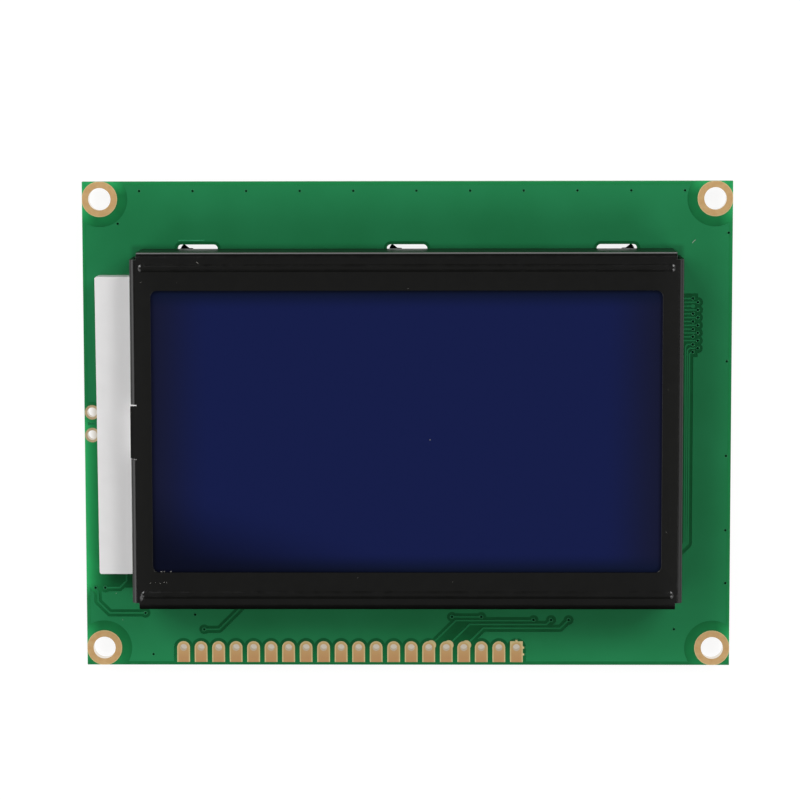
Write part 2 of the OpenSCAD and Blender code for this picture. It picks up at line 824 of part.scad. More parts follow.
pcb();
front_copper();
mounting_rings();
header_pads();
backlight_pads();
bezel();
front_polariser();
front_glass();
rear_glass();
rear_polariser();
zebra_strip_upper();
zebra_strip_lower();
backlight_frame();
light_guide();
diffuser_sheet();
reflector_sheet();
led_board();
leds();
backlight_pins();
pin_solder();
controller_blob();
driver_blob_left();
driver_blob_right();
chip_resistors();
chip_capacitors();
chip_end_caps();
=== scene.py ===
"""Looks of a graphic LCD module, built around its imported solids.

Lengths are in metres, or in millimetres where a comment says so.
The module lies on its back in the part's own frame:
+X runs along the header row, +Y away from it and +Z out of the display.
"""

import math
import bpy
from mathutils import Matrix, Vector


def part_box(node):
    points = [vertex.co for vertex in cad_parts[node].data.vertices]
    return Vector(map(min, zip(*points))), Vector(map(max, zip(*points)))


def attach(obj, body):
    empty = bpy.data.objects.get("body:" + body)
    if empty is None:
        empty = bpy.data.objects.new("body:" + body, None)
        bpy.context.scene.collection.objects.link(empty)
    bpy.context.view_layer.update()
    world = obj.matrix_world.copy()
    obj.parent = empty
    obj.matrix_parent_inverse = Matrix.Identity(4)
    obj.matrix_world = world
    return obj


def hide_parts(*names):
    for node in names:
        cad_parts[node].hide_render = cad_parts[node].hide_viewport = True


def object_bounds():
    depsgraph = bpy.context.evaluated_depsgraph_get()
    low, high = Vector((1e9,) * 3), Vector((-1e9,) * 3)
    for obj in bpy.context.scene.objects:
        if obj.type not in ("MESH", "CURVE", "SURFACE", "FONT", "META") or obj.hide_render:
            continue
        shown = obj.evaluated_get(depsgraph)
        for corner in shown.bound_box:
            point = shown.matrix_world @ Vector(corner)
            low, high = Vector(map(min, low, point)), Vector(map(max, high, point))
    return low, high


bl_info = {
    "name": "Graphic LCD module looks",
    "version": (1, 1, 0),
    "blender": (4, 5, 0),
    "location": "View3D > Sidebar > LCD module",
    "description": "Finishes, small fittings and stage of a graphic LCD module",
    "category": "Object",
}

import bmesh
import bpy
from bpy.props import FloatProperty, FloatVectorProperty, IntProperty, PointerProperty
from mathutils import Vector

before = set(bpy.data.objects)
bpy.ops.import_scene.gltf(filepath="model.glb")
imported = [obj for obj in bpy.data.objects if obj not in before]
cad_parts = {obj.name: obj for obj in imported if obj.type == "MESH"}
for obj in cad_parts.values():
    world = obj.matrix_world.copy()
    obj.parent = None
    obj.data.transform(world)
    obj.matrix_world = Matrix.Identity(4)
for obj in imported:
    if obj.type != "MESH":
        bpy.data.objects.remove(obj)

MM = 0.001
CAD_LOW, CAD_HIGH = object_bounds()
BOARD_LOW, BOARD_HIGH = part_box("pcb")
BEZEL_LOW, BEZEL_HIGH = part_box("bezel")
FILM_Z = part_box("front_polariser")[1].z
MASK_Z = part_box("front_copper")[1].z
BACK_Z = BOARD_LOW.z

# Places that no box of the frame gives: the window, the mounting holes and tab slots from the board's edges,
# the bezel's face below its beads, and its upper and lower walls
WINDOW_HALF_X = 36.0 * MM
WINDOW_HALF_Y = 20.0 * MM
MOUNT_EDGE = 2.5 * MM
SLOT_EDGE = 9.3 * MM
BEAD_HEIGHT = 0.2 * MM
FRONT_Z = BEZEL_HIGH.z - BEAD_HEIGHT
WALL_Y = 25.4 * MM


# Colours and small helpers


def srgb(code):
    """Linear RGBA of an sRGB hex colour."""
    values = [int(code[i:i + 2], 16) / 255 for i in (1, 3, 5)]
    linear = [v / 12.92 if v <= 0.04045 else ((v + 0.055) / 1.055) ** 2.4 for v in values]
    return (*linear, 1.0)


def colour(name, description, code):
    """A colour property with its default given as sRGB hex."""
    return FloatVectorProperty(name=name, description=description, subtype="COLOR", size=4,
                               min=0, max=1, default=srgb(code))


def length(name, description, millimetres):
    """A length property with its default given in millimetres."""
    return FloatProperty(name=name, description=description, subtype="DISTANCE", unit="LENGTH",
                         min=0, precision=6, default=millimetres * MM)


def level(name, description, default):
    """A plain number property that is never negative."""
    return FloatProperty(name=name, description=description, min=0, default=default)


# Settings of nodes that come up again and again
SMOOTH = {"interpolation_type": "SMOOTHSTEP"}
BLEND = {"data_type": "RGBA"}
TINT = {"data_type": "RGBA", "blend_type": "MULTIPLY"}
TIMES = {"operation": "MULTIPLY"}
LARGER = {"operation": "MAXIMUM"}
SMALLER = {"operation": "MINIMUM"}
UNSIGNED = {"operation": "ABSOLUTE"}


def feed(tree, node, inputs):
    """Sets inputs of a node, each to a value or to the socket that feeds it."""
    for key, value in inputs.items():
        if isinstance(value, bpy.types.NodeSocket):
            tree.links.new(value, node.inputs[key])
        else:
            node.inputs[key].default_value = value


def add(tree, kind, settings=None, inputs=None):
    """Adds a node: settings are its attributes, inputs its values or the sockets that feed it."""
    node = tree.nodes.new(kind)
    for key, value in (settings or {}).items():
        setattr(node, key, value)
    feed(tree, node, inputs or {})
    return node


def new_material(name, inputs=None):
    """A material with some inputs of its Principled shader set, and the socket of its object coordinates."""
    made = bpy.data.materials.new(name)
    made.use_nodes = True
    shader = made.node_tree.nodes["Principled BSDF"]
    feed(made.node_tree, shader, inputs or {})
    place = add(made.node_tree, "ShaderNodeTexCoord").outputs["Object"]
    return made, made.node_tree, shader, place


def mottle(tree, place, size, low, high):
    """Socket with soft noise of the given size, running from low to high."""
    noise = add(tree, "ShaderNodeTexNoise", inputs={"Vector": place, "Scale": 1 / size, "Detail": 3.0})
    return add(tree, "ShaderNodeMapRange", inputs={
        "Value": noise.outputs["Fac"], "From Min": 0.3, "From Max": 0.7,
        "To Min": low, "To Max": high}).outputs["Result"]


def two_tone(tree, place, size, first, second):
    """Socket with two colours in soft clouds of the given size."""
    clouds = mottle(tree, place, size, 0.0, 1.0)
    return add(tree, "ShaderNodeMix", BLEND, {0: clouds, 6: first, 7: second}).outputs[2]


def grain(tree, shader, place, size, height, strength):
    """Gives the surface a fine bump of the given grain size and height."""
    noise = add(tree, "ShaderNodeTexNoise", inputs={"Vector": place, "Scale": 1 / size, "Detail": 2.0})
    bump = add(tree, "ShaderNodeBump", inputs={
        "Strength": strength, "Distance": height, "Height": noise.outputs["Fac"]})
    feed(tree, shader, {"Normal": bump.outputs["Normal"]})


# Distances, light and shade that the finishes share


def rim_distances(tree, place, half_x, half_y):
    """Sockets with the distance from the left or right edge and from the upper or lower edge."""
    parts = add(tree, "ShaderNodeSeparateXYZ", inputs={"Vector": place}).outputs
    gaps = []
    for axis, half in (("X", half_x), ("Y", half_y)):
        reach = add(tree, "ShaderNodeMath", UNSIGNED, {0: parts[axis]})
        gap = add(tree, "ShaderNodeMath", {"operation": "SUBTRACT"}, {0: half, 1: reach.outputs[0]})
        gaps.append(gap.outputs[0])
    return gaps


def edge_distance(tree, place):
    """Socket with the distance from the board's nearest edge."""
    across, along = rim_distances(tree, place, BOARD_HIGH.x, BOARD_HIGH.y)
    return add(tree, "ShaderNodeMath", SMALLER, {0: across, 1: along}).outputs[0]


def mount_distance(tree, place):
    """Socket with the distance from the nearest mounting hole."""
    across, along = rim_distances(tree, place, BOARD_HIGH.x, BOARD_HIGH.y)
    corner = add(tree, "ShaderNodeCombineXYZ", inputs={"X": across, "Y": along})
    return add(tree, "ShaderNodeVectorMath", {"operation": "DISTANCE"},
               {0: corner.outputs[0], 1: (MOUNT_EDGE, MOUNT_EDGE, 0)}).outputs["Value"]


# Light through the laminate: where it is full, where the bare strip at the left lies, where it fades, what
# share of it shows by place, and how far and how fast it falls
FULL_WITHIN = 0.2 * MM
STRIP_MIDDLE = (-44.0 * MM, -11.5 * MM, 0)
STRIP_HALF_X = 5.0 * MM
STRIP_HALF_Y = 14.5 * MM
STRIP_FADE = 3.0 * MM
CORNER_FADE = (5.5 * MM, 2.5 * MM)
LOWER_FADE = 2.5 * MM
CORNER_LIGHT = 0.72
EDGE_LIGHT = 0.34
LOWER_LIGHT = 0.3
RING_LIGHT = 0.24
COPPER_LIGHT = 0.05
COPPER_REACH = 0.6
COPPER_FALL = 2.0
LAMINATE_FALL = 3.5


def rim_light(tree, place, reach, power):
    """Socket with light that fades from the board's edges inward."""
    fade = add(tree, "ShaderNodeMapRange", inputs={
        "Value": edge_distance(tree, place), "From Min": reach, "From Max": FULL_WITHIN})
    return add(tree, "ShaderNodeMath", {"operation": "POWER"},
               {0: fade.outputs["Result"], 1: power}).outputs[0]


def light_inside(tree, place, reach):
    """Socket with the light in bare laminate: strong at the left strip and in the corners, else faint."""
    ring = add(tree, "ShaderNodeMapRange", SMOOTH, {
        "Value": mount_distance(tree, place), "From Min": CORNER_FADE[0], "From Max": CORNER_FADE[1],
        "To Max": CORNER_LIGHT}).outputs["Result"]
    # The strip reaches from the terminals down to the left vias
    shifted = add(tree, "ShaderNodeVectorMath", {"operation": "SUBTRACT"}, {0: place, 1: STRIP_MIDDLE})
    off = add(tree, "ShaderNodeVectorMath", UNSIGNED, {0: shifted.outputs[0]})
    parts = add(tree, "ShaderNodeSeparateXYZ", inputs={"Vector": off.outputs[0]}).outputs
    beside = add(tree, "ShaderNodeMath", {"operation": "LESS_THAN"}, {0: parts["X"], 1: STRIP_HALF_X})
    strip = add(tree, "ShaderNodeMapRange", inputs={
        "Value": parts["Y"], "From Min": STRIP_HALF_Y, "From Max": STRIP_HALF_Y - STRIP_FADE})
    strip = add(tree, "ShaderNodeMath", TIMES, {0: strip.outputs["Result"], 1: beside.outputs[0]})
    zone = EDGE_LIGHT
    for part in (ring, strip.outputs[0]):
        zone = add(tree, "ShaderNodeMath", LARGER, {0: part, 1: zone}).outputs[0]
    height = add(tree, "ShaderNodeSeparateXYZ", inputs={"Vector": place}).outputs["Y"]
    raised = add(tree, "ShaderNodeMapRange", inputs={
        "Value": height, "From Min": BOARD_LOW.y, "From Max": BOARD_LOW.y + LOWER_FADE,
        "To Min": LOWER_LIGHT})
    lit = rim_light(tree, place, reach, LAMINATE_FALL)
    for part in (zone, raised.outputs["Result"]):
        lit = add(tree, "ShaderNodeMath", TIMES, {0: lit, 1: part}).outputs[0]
    faint = add(tree, "ShaderNodeMath", TIMES, {0: ring, 1: RING_LIGHT})
    return add(tree, "ShaderNodeMath", LARGER, {0: lit, 1: faint.outputs[0]}).outputs[0]


# Shade on the board beside the bezel's walls: how far it reaches and what light it leaves
SHADE_REACH = 0.9 * MM
SHADE_LEAVES = 0.66


def wall_shade(tree, place):
    """Socket that falls below 1 close to the bezel's walls, which keep light off the board."""
    gaps = [add(tree, "ShaderNodeMath", SMALLER, {0: gap, 1: 0.0}).outputs[0]
            for gap in rim_distances(tree, place, BEZEL_HIGH.x, WALL_Y)]
    off = add(tree, "ShaderNodeCombineXYZ", inputs={"X": gaps[0], "Y": gaps[1]})
    away = add(tree, "ShaderNodeVectorMath", {"operation": "LENGTH"}, {0: off.outputs[0]})
    return add(tree, "ShaderNodeMapRange", SMOOTH, {
        "Value": away.outputs["Value"], "From Min": 0.0, "From Max": SHADE_REACH,
        "To Min": SHADE_LEAVES}).outputs["Result"]


def facing_up(tree):
    """Socket that is 1 on faces that look up or down and 0 on the side walls."""
    normal = add(tree, "ShaderNodeNewGeometry").outputs["True Normal"]
    upright = add(tree, "ShaderNodeSeparateXYZ", inputs={"Vector": normal}).outputs["Z"]
    steep = add(tree, "ShaderNodeMath", UNSIGNED, {0: upright})
    return add(tree, "ShaderNodeMath", {"operation": "GREATER_THAN"},
               {0: steep.outputs[0], 1: 0.5}).outputs[0]


# Sizes and colours that a user would change


class BoardLook(bpy.types.PropertyGroup):
    pour: colour("Mask over copper", "Green of the mask where copper lies under it", "#1d7446")
    pour_deep: colour("Mask over copper, deep", "Deeper green in the clouds of that mask", "#196e40")
    bare: colour("Mask over laminate", "Green of the mask where there is no copper", "#05532a")
    glow: colour("Lit edge", "Green near the edges, where light comes through the laminate", "#2ba85f")
    laminate: colour("Laminate", "Cut edge of the glass and epoxy laminate", "#5f9a5c")
    glow_reach: length("Reach of the lit edge", "How far light comes in from the edges", 5.5)


class ViaLook(bpy.types.PropertyGroup):
    bore: length("Via bore", "Radius of the dark mouth of a via", 0.16)
    lip: length("Via lip", "Radius of the ring of mask about the mouth", 0.24)
    lip_wire: length("Lip thickness", "Half the thickness of that ring", 0.05)
    # Painted shade: a dark plug in each via's mouth stands in for the shade down its bore
    bore_shade: colour("Inside of a via", "Dark green inside a via", "#04140b")


class GoldLook(bpy.types.PropertyGroup):
    ring: colour("Mounting rings", "Tan gold of the mounting rings", "#ba935f")
    ring_pale: colour("Mounting rings, pale", "Paler gold in patches of the rings", "#c2a06e")
    pad: colour("Header pads", "Orange gold of the header pads", "#b18657")
    pad_pale: colour("Header pads, pale", "Paler gold of the pads about their holes", "#c4a46d")
    terminal: colour("Terminals", "Greyer gold of the backlight terminals", "#b59d73")
    terminal_pale: colour("Terminals, pale", "Paler gold in patches of the terminals", "#c0ab86")
    # Painted highlight: a paler gold along the outline of pads and rings, where their edges catch the light
    rim: colour("Rim of the plating", "Paler gold along the outline of pads and rings", "#c9b783")
    # Plated hole walls, drawn paler than the pads' gold: partly real plating, partly a painted highlight
    barrel_plating_and_highlight: colour("Plating in the holes", "Pale plating on the walls of the holes", "#e6dccb")


class BezelLook(bpy.types.PropertyGroup):
    paint: colour("Bezel paint", "Black baked paint on the bezel", "#0d0d0c")
    # Painted highlight: a lighter paint tone towards the side folds stands in for their broad highlight
    paint_side_highlight: colour("Bezel paint, dry", "Slightly greyer paint towards the side folds", "#121211")
    shine: level("Shine", "Specular level of the paint on the face and folds", 0.5)
    edge: length("Edge radius", "Radius of the sheared edges under the paint", 0.14)


class CellLook(bpy.types.PropertyGroup):
    centre: colour("Film, middle", "Blue of the film in the middle of the window", "#101842")
    # Painted shade: the tones for the sides, ends and lower left corner darken the film towards the window's
    # rim
    sides: colour("Film, sides", "Blue of the film near the window's left and right rim", "#12152e")
    ends: colour("Film, ends", "Blue of the film near the window's upper and lower rim", "#091129")
    corner: colour("Film, lower left", "Blue of the film in the darkest corner", "#05081a")
    dot_pitch: length("Dot pitch", "Pitch of the display's dots", 0.52)


class LugLook(bpy.types.PropertyGroup):
    plastic: colour("Frame plastic", "White of the moulded backlight frame", "#dbdada")
    # Painted light: a whiter tone towards and under the bezel makes up for the bezel's shade on the frame
    plastic_painted_light: colour("Frame plastic, clean", "Cleaner white towards and under the bezel", "#f2f1f1")
    edge: length("Edge radius", "Radius of the moulded edges", 0.12)


class TraceLook(bpy.types.PropertyGroup):
    width: length("Trace width", "Width of a trace on the back", 0.25)
    height: length("Trace height", "How far a trace stands out under the mask", 0.03)


class DustLook(bpy.types.PropertyGroup):
    tint: colour("Dust", "Pale grey of the dust specks", "#b9b6ae")
    small: length("Smallest speck", "Radius of the smallest dust speck", 0.015)
    large: length("Largest speck", "Radius of the largest dust speck", 0.04)
    fibre: length("Fibre width", "Width of the lone fibres and specks", 0.065)
    # Partly a raised seam in the mask, partly a painted highlight where the mask steps
    seam: colour("Seam in the mask", "Lighter green of the seam beside the first slot", "#3a9c6b")
    density: level("Specks per square metre", "How thick the loose dust lies", 14000)
    seed: IntProperty(name="Seed", description="Seed of the places of the specks", default=7)


class StageLook(bpy.types.PropertyGroup):
    floor: colour("Floor", "Pale floor under the module", "#6c6c6b")
    floor_seen: colour("Floor as seen", "What the open floor adds in the camera's view", "#f3f3f3")
    floor_shade: colour("Shaded floor", "What the floor under the board adds in the camera's view", "#b9b0a2")
    left_level: level("Left softbox", "Brightness of the softbox on the left", 1.6)
    right_level: level("Right softbox", "Brightness of the softbox on the right", 0.75)
    upper_level: level("Upper lamps", "Brightness of the two lamps over the upper corners", 5.4)
    lower_left_level: level("Lower left lamp", "Brightness of the lamp over that corner", 1.9)
    lower_right_level: level("Lower right lamp", "Brightness of the lamp over that corner", 3.5)
    overhead: level("Overhead", "Brightness of the room overhead", 0.15)
    walls: level("Walls", "Brightness of the room's walls", 0.02)


# Materials

# Gloss of both masks, scale of the wave textures, with bands about 2.5 mm wide, and strength of the plies
MASK_GLOSS = {"Roughness": 0.3, "Specular IOR Level": 0.25}
WAVE_SCALE = 1 / (0.4 * MM) / 20
PLY_SHARE = 0.3


def mask_over_copper(look):
    """Liquid solder mask over copper: a glossy green ink, lighter where metal lies under it."""
    made, tree, shader, place = new_material("solder_mask_over_copper", MASK_GLOSS)
    ink = two_tone(tree, place, 9 * MM, look.pour, look.pour_deep)
    # Copper lets little of the edge's light through, and not as far in
    edge = rim_light(tree, place, COPPER_REACH * look.glow_reach, COPPER_FALL)
    share = add(tree, "ShaderNodeMath", TIMES, {0: edge, 1: COPPER_LIGHT})
    lit = add(tree, "ShaderNodeMix", BLEND, {0: share.outputs[0], 6: ink, 7: look.glow})
    tone = add(tree, "ShaderNodeMix", TINT, {0: 1.0, 6: lit.outputs[2], 7: wall_shade(tree, place)})
    feed(tree, shader, {"Base Color": tone.outputs[2]})
    grain(tree, shader, place, 0.3 * MM, 0.004 * MM, 0.4)
    return made


def mask_over_laminate(look):
    """Solder mask over bare laminate: darker, lit from inside near the rim; cut edges show the fibre."""
    made, tree, shader, place = new_material("solder_mask_over_laminate", MASK_GLOSS)
    clouds = mottle(tree, place, 1.4 * MM, 0.86, 1.08)
    dark = add(tree, "ShaderNodeMix", TINT, {0: 1.0, 6: look.bare, 7: clouds})
    ink = add(tree, "ShaderNodeMix", BLEND,
              {0: light_inside(tree, place, look.glow_reach), 6: dark.outputs[2], 7: look.glow})
    # Plies of glass cloth, drawn far coarser than real, as one slow change of tone in the cut edge
    plies = add(tree, "ShaderNodeTexWave", {"wave_type": "BANDS", "bands_direction": "Z"},
                {"Vector": place, "Scale": WAVE_SCALE, "Distortion": 1.5, "Detail": 2.0})
    share = add(tree, "ShaderNodeMath", TIMES, {0: plies.outputs["Fac"], 1: PLY_SHARE})
    fibre = add(tree, "ShaderNodeMix", BLEND, {0: share.outputs[0], 6: look.laminate, 7: look.bare})
    tone = add(tree, "ShaderNodeMix", BLEND, {0: facing_up(tree), 6: fibre.outputs[2], 7: ink.outputs[2]})
    feed(tree, shader, {"Base Color": tone.outputs[2]})
    grain(tree, shader, place, 0.35 * MM, 0.004 * MM, 0.4)
    return made


# Gold: radii between which a painted highlight lightens the outline of pads and rings, the stretch of Y over
# which the pads turn pale about their holes, how metallic its flats are and how rough its holes
PAD_HIGHLIGHT_RADII = (0.7 * MM, 0.84 * MM)
RING_HIGHLIGHT_RADII = (2.4 * MM, 2.54 * MM)
PAD_FADE = (-34.4 * MM, -31.4 * MM)
FLAT_METAL = 0.25
BARREL_MATT = 0.15


def pad_outline_highlight(tree, place):
    """Socket that is 1 along the outline of the header pads, where a highlight is painted."""
    shifted = add(tree, "ShaderNodeVectorMath", {"operation": "SUBTRACT"},
                  {0: place, 1: (HEADER_FIRST_X * MM, HEADER_Y * MM, 0)})
    parts = add(tree, "ShaderNodeSeparateXYZ", inputs={"Vector": shifted.outputs[0]}).outputs
    beside = add(tree, "ShaderNodeMath", {"operation": "WRAP"},
                 {0: parts["X"], 1: HEADER_PITCH * MM / 2, 2: -HEADER_PITCH * MM / 2})
    above = add(tree, "ShaderNodeMath", LARGER, {0: parts["Y"], 1: 0.0})
    off = add(tree, "ShaderNodeCombineXYZ", inputs={"X": beside.outputs[0], "Y": above.outputs[0]})
    away = add(tree, "ShaderNodeVectorMath", {"operation": "LENGTH"}, {0: off.outputs[0]})
    return add(tree, "ShaderNodeMapRange", SMOOTH, {
        "Value": away.outputs["Value"],
        "From Min": PAD_HIGHLIGHT_RADII[0], "From Max": PAD_HIGHLIGHT_RADII[1]}).outputs["Result"]


def ring_outline_highlight(tree, place):
    """Socket that is 1 along the outline of the mounting rings, where a highlight is painted."""
    return add(tree, "ShaderNodeMapRange", SMOOTH, {
        "Value": mount_distance(tree, place),
        "From Min": RING_HIGHLIGHT_RADII[0], "From Max": RING_HIGHLIGHT_RADII[1]}).outputs["Result"]


def gold_plating(name, look, part, fade, rim):
    """Immersion gold over nickel: soft, grainy tan metal, smooth in the holes and painted paler there as
    highlight.
    """
    made, tree, shader, place = new_material(name)
    flat = facing_up(tree)
    if fade:
        height = add(tree, "ShaderNodeSeparateXYZ", inputs={"Vector": place}).outputs["Y"]
        pale = add(tree, "ShaderNodeMapRange", SMOOTH, {
            "Value": height, "From Min": fade[0], "From Max": fade[1]}).outputs["Result"]
    else:
        pale = mottle(tree, place, 0.7 * MM, 0.0, 1.0)
    tone = add(tree, "ShaderNodeMix", BLEND,
               {0: pale, 6: getattr(look, part), 7: getattr(look, part + "_pale")})
    # Painted highlight along the outline of pads and rings
    if rim:
        tone = add(tree, "ShaderNodeMix", BLEND, {0: rim(tree, place), 6: tone.outputs[2], 7: look.rim})
    # Hole walls: the plating's tone, made paler as a painted highlight
    tone = add(tree, "ShaderNodeMix", BLEND, {0: flat, 6: look.barrel_plating_and_highlight, 7: tone.outputs[2]})
    metal = add(tree, "ShaderNodeMapRange", inputs={"Value": flat, "To Min": 1.0, "To Max": FLAT_METAL})
    matt = add(tree, "ShaderNodeMix", {"data_type": "FLOAT"},
               {0: flat, 2: BARREL_MATT, 3: mottle(tree, place, 0.2 * MM, 0.42, 0.56)})
    feed(tree, shader, {"Base Color": tone.outputs[2], "Metallic": metal.outputs["Result"],
                        "Roughness": matt.outputs[0]})
    grain(tree, shader, place, 0.12 * MM, 0.002 * MM, 0.5)
    return made


# Bezel: heights at which folds turn to walls, walls lie deep and tabs end, places of the upper, lower and
# side folds and of the painted highlight towards the side folds, and the shine and roughness of the walls
FOLD_Z = (FRONT_Z - 0.7 * MM, FRONT_Z - 0.58 * MM)
DEEP_Z = (FRONT_Z - 1.4 * MM, FRONT_Z - 0.9 * MM)
TAB_Z = (MASK_Z - 0.1 * MM, MASK_Z)
UPPER_Y = (WALL_Y - 0.25 * MM, WALL_Y - 0.13 * MM)
LOWER_Y = (0.4 * MM - WALL_Y, 0.9 * MM - WALL_Y)
SIDE_X = (BEZEL_HIGH.x - 0.36 * MM, BEZEL_HIGH.x - 0.2 * MM)
SIDE_HIGHLIGHT_X = (WINDOW_HALF_X - 2 * MM, BEZEL_HIGH.x)
WALL_SHINE = 0.3
SIDE_SHINE = 0.3
UPPER_SHINE = 3.8
WALL_MATT = 0.5
UPPER_MATT = 0.34


def bezel_paint(look):
    """Baked black enamel on folded steel: satin with faint orange peel, duller on the walls."""
    made, tree, shader, place = new_material("baked_enamel_on_steel")
    parts = add(tree, "ShaderNodeSeparateXYZ", inputs={"Vector": place}).outputs
    side = add(tree, "ShaderNodeMath", UNSIGNED, {0: parts["X"]}).outputs[0]
    # Painted highlight: the paint turns lighter towards the side folds
    side_highlight = add(tree, "ShaderNodeMapRange", SMOOTH, {
        "Value": side, "From Min": SIDE_HIGHLIGHT_X[0], "From Max": SIDE_HIGHLIGHT_X[1]})
    tone = add(tree, "ShaderNodeMix", BLEND, {0: side_highlight.outputs["Result"], 6: look.paint, 7: look.paint_side_highlight})
    # Shine: full on the face, most on the upper fold, faint on the walls, none on the tabs and the lower fold
    front = add(tree, "ShaderNodeMapRange", inputs={
        "Value": parts["Z"], "From Min": FOLD_Z[0], "From Max": FOLD_Z[1]}).outputs["Result"]
    face = add(tree, "ShaderNodeMapRange", inputs={"Value": front, "To Min": WALL_SHINE})
    above = add(tree, "ShaderNodeMapRange", inputs={
        "Value": parts["Z"], "From Min": TAB_Z[0], "From Max": TAB_Z[1]})
    deep = add(tree, "ShaderNodeMapRange", inputs={
        "Value": parts["Z"], "From Min": DEEP_Z[0], "From Max": DEEP_Z[1], "To Min": 1.0, "To Max": 0.0})
    lower = add(tree, "ShaderNodeMapRange", inputs={
        "Value": parts["Y"], "From Min": LOWER_Y[0], "From Max": LOWER_Y[1],
        "To Min": deep.outputs["Result"]})
    rise = add(tree, "ShaderNodeMapRange", inputs={"Value": front, "To Min": 1.0, "To Max": UPPER_SHINE})
    upper, dull = [add(tree, "ShaderNodeMapRange", inputs={
        "Value": parts["Y"], "From Min": UPPER_Y[0], "From Max": UPPER_Y[1], "To Min": low, "To Max": high})
        for low, high in ((1.0, rise.outputs["Result"]), (WALL_MATT, UPPER_MATT))]
    outer = add(tree, "ShaderNodeMapRange", inputs={
        "Value": side, "From Min": SIDE_X[0], "From Max": SIDE_X[1], "To Min": 1.0, "To Max": SIDE_SHINE})
    shine = look.shine
    for part in (face, above, lower, upper, outer):
        shine = add(tree, "ShaderNodeMath", TIMES, {0: shine, 1: part.outputs["Result"]}).outputs[0]
    matt = add(tree, "ShaderNodeMapRange", inputs={
        "Value": front, "To Min": dull.outputs["Result"],
        "To Max": mottle(tree, place, 1.2 * MM, 0.17, 0.22)})
    feed(tree, shader, {"Base Color": tone.outputs[2], "Specular IOR Level": shine,
                        "Roughness": matt.outputs["Result"]})
    grain(tree, shader, place, 0.18 * MM, 0.003 * MM, 0.3)
    return made


# Film: how far its painted shade reaches in from the window's sides and ends, the slope, reach and depth of
# the painted shade in its lower left corner, and the lines between dots as shares of their pitch, with their
# tone
SIDE_REACH = 8.5 * MM
END_REACH = 2.8 * MM
CORNER_SLOPE = 0.32
CORNER_REACH = (1.0 * MM, 14.0 * MM)
CORNER_SHADE = 0.95
DOT_LINE = (0.02, 0.09)
DOT_LINE_TONE = 0.97


def polariser_film(look):
    """Polarising film over a dark blue cell: smooth, deep blue, with painted shade towards the window's rim.
    """
    made, tree, shader, place = new_material("polarising_film", {
        "Roughness": 0.22, "Specular IOR Level": 0.16})
    across, along = rim_distances(tree, place, WINDOW_HALF_X, WINDOW_HALF_Y)
    tone = look.centre
    # Painted shade towards the window's sides and ends
    for gap, reach, rim in ((across, SIDE_REACH, look.sides), (along, END_REACH, look.ends)):
        inside = add(tree, "ShaderNodeMapRange", SMOOTH, {"Value": gap, "From Min": 0.0, "From Max": reach})
        tone = add(tree, "ShaderNodeMix", BLEND, {0: inside.outputs["Result"], 6: rim, 7: tone}).outputs[2]
    # Painted shade in the lower left corner: distance from a slanted line, low along the lower edge
    slope = add(tree, "ShaderNodeVectorMath", {"operation": "DOT_PRODUCT"},
                {0: place, 1: (CORNER_SLOPE, 1.0, 0.0)})
    start = -CORNER_SLOPE * WINDOW_HALF_X - WINDOW_HALF_Y
    shade = add(tree, "ShaderNodeMapRange", SMOOTH, {
        "Value": slope.outputs["Value"],
        "From Min": start + CORNER_REACH[0], "From Max": start + CORNER_REACH[1],
        "To Min": CORNER_SHADE, "To Max": 0.0})
    tone = add(tree, "ShaderNodeMix", BLEND, {0: shade.outputs["Result"], 6: tone, 7: look.corner})
    # Electrode dots, faint because the display is off
    dots = add(tree, "ShaderNodeTexVoronoi", {"feature": "DISTANCE_TO_EDGE"},
               {"Vector": place, "Scale": 1 / look.dot_pitch, "Randomness": 0.0})
    faint = add(tree, "ShaderNodeMapRange", inputs={
        "Value": dots.outputs["Distance"], "From Min": DOT_LINE[0], "From Max": DOT_LINE[1],
        "To Min": DOT_LINE_TONE, "To Max": 1.0})
    tone = add(tree, "ShaderNodeMix", TINT, {0: 1.0, 6: tone.outputs[2], 7: faint.outputs["Result"]})
    feed(tree, shader, {"Base Color": tone.outputs[2]})
    grain(tree, shader, place, 1.5 * MM, 0.002 * MM, 0.15)
    return made


# Where painted light begins to whiten the frame's plastic, from its open end towards the bezel
LUG_OPEN_X = -43.5 * MM


def moulded_white(look):
    """Moulded white plastic: satin, very slightly clouded, with a fine spark-eroded grain."""
    made, tree, shader, place = new_material("moulded_white_plastic", {
        "Roughness": 0.42, "Specular IOR Level": 0.4})
    clouds = mottle(tree, place, 2.5 * MM, 0.965, 1.0)
    tone = add(tree, "ShaderNodeMix", TINT, {0: 1.0, 6: look.plastic, 7: clouds})
    # Painted light: whiter plastic from the lug's open end towards and under the bezel, against the bezel's
    # shade
    inward = add(tree, "ShaderNodeSeparateXYZ", inputs={"Vector": place}).outputs["X"]
    lit_towards_bezel = add(tree, "ShaderNodeMapRange", inputs={
        "Value": inward, "From Min": LUG_OPEN_X, "From Max": BEZEL_LOW.x})
    tone = add(tree, "ShaderNodeMix", BLEND,
               {0: lit_towards_bezel.outputs["Result"], 6: tone.outputs[2], 7: look.plastic_painted_light})
    feed(tree, shader, {"Base Color": tone.outputs[2]})
    grain(tree, shader, place, 0.2 * MM, 0.003 * MM, 0.3)
    return made


def clear_solid(name, tint, roughness, size):
    """Clear glass or acrylic: smooth, with a faint tint and faint draw marks."""
    made, tree, shader, place = new_material(name, {"Transmission Weight": 1.0, "IOR": 1.5})
    clouds = mottle(tree, place, size, 0.97, 1.0)
    tone = add(tree, "ShaderNodeMix", TINT, {0: 1.0, 6: srgb(tint), 7: clouds})
    feed(tree, shader, {"Base Color": tone.outputs[2],
                        "Roughness": mottle(tree, place, size, roughness, roughness + 0.05)})
    return made


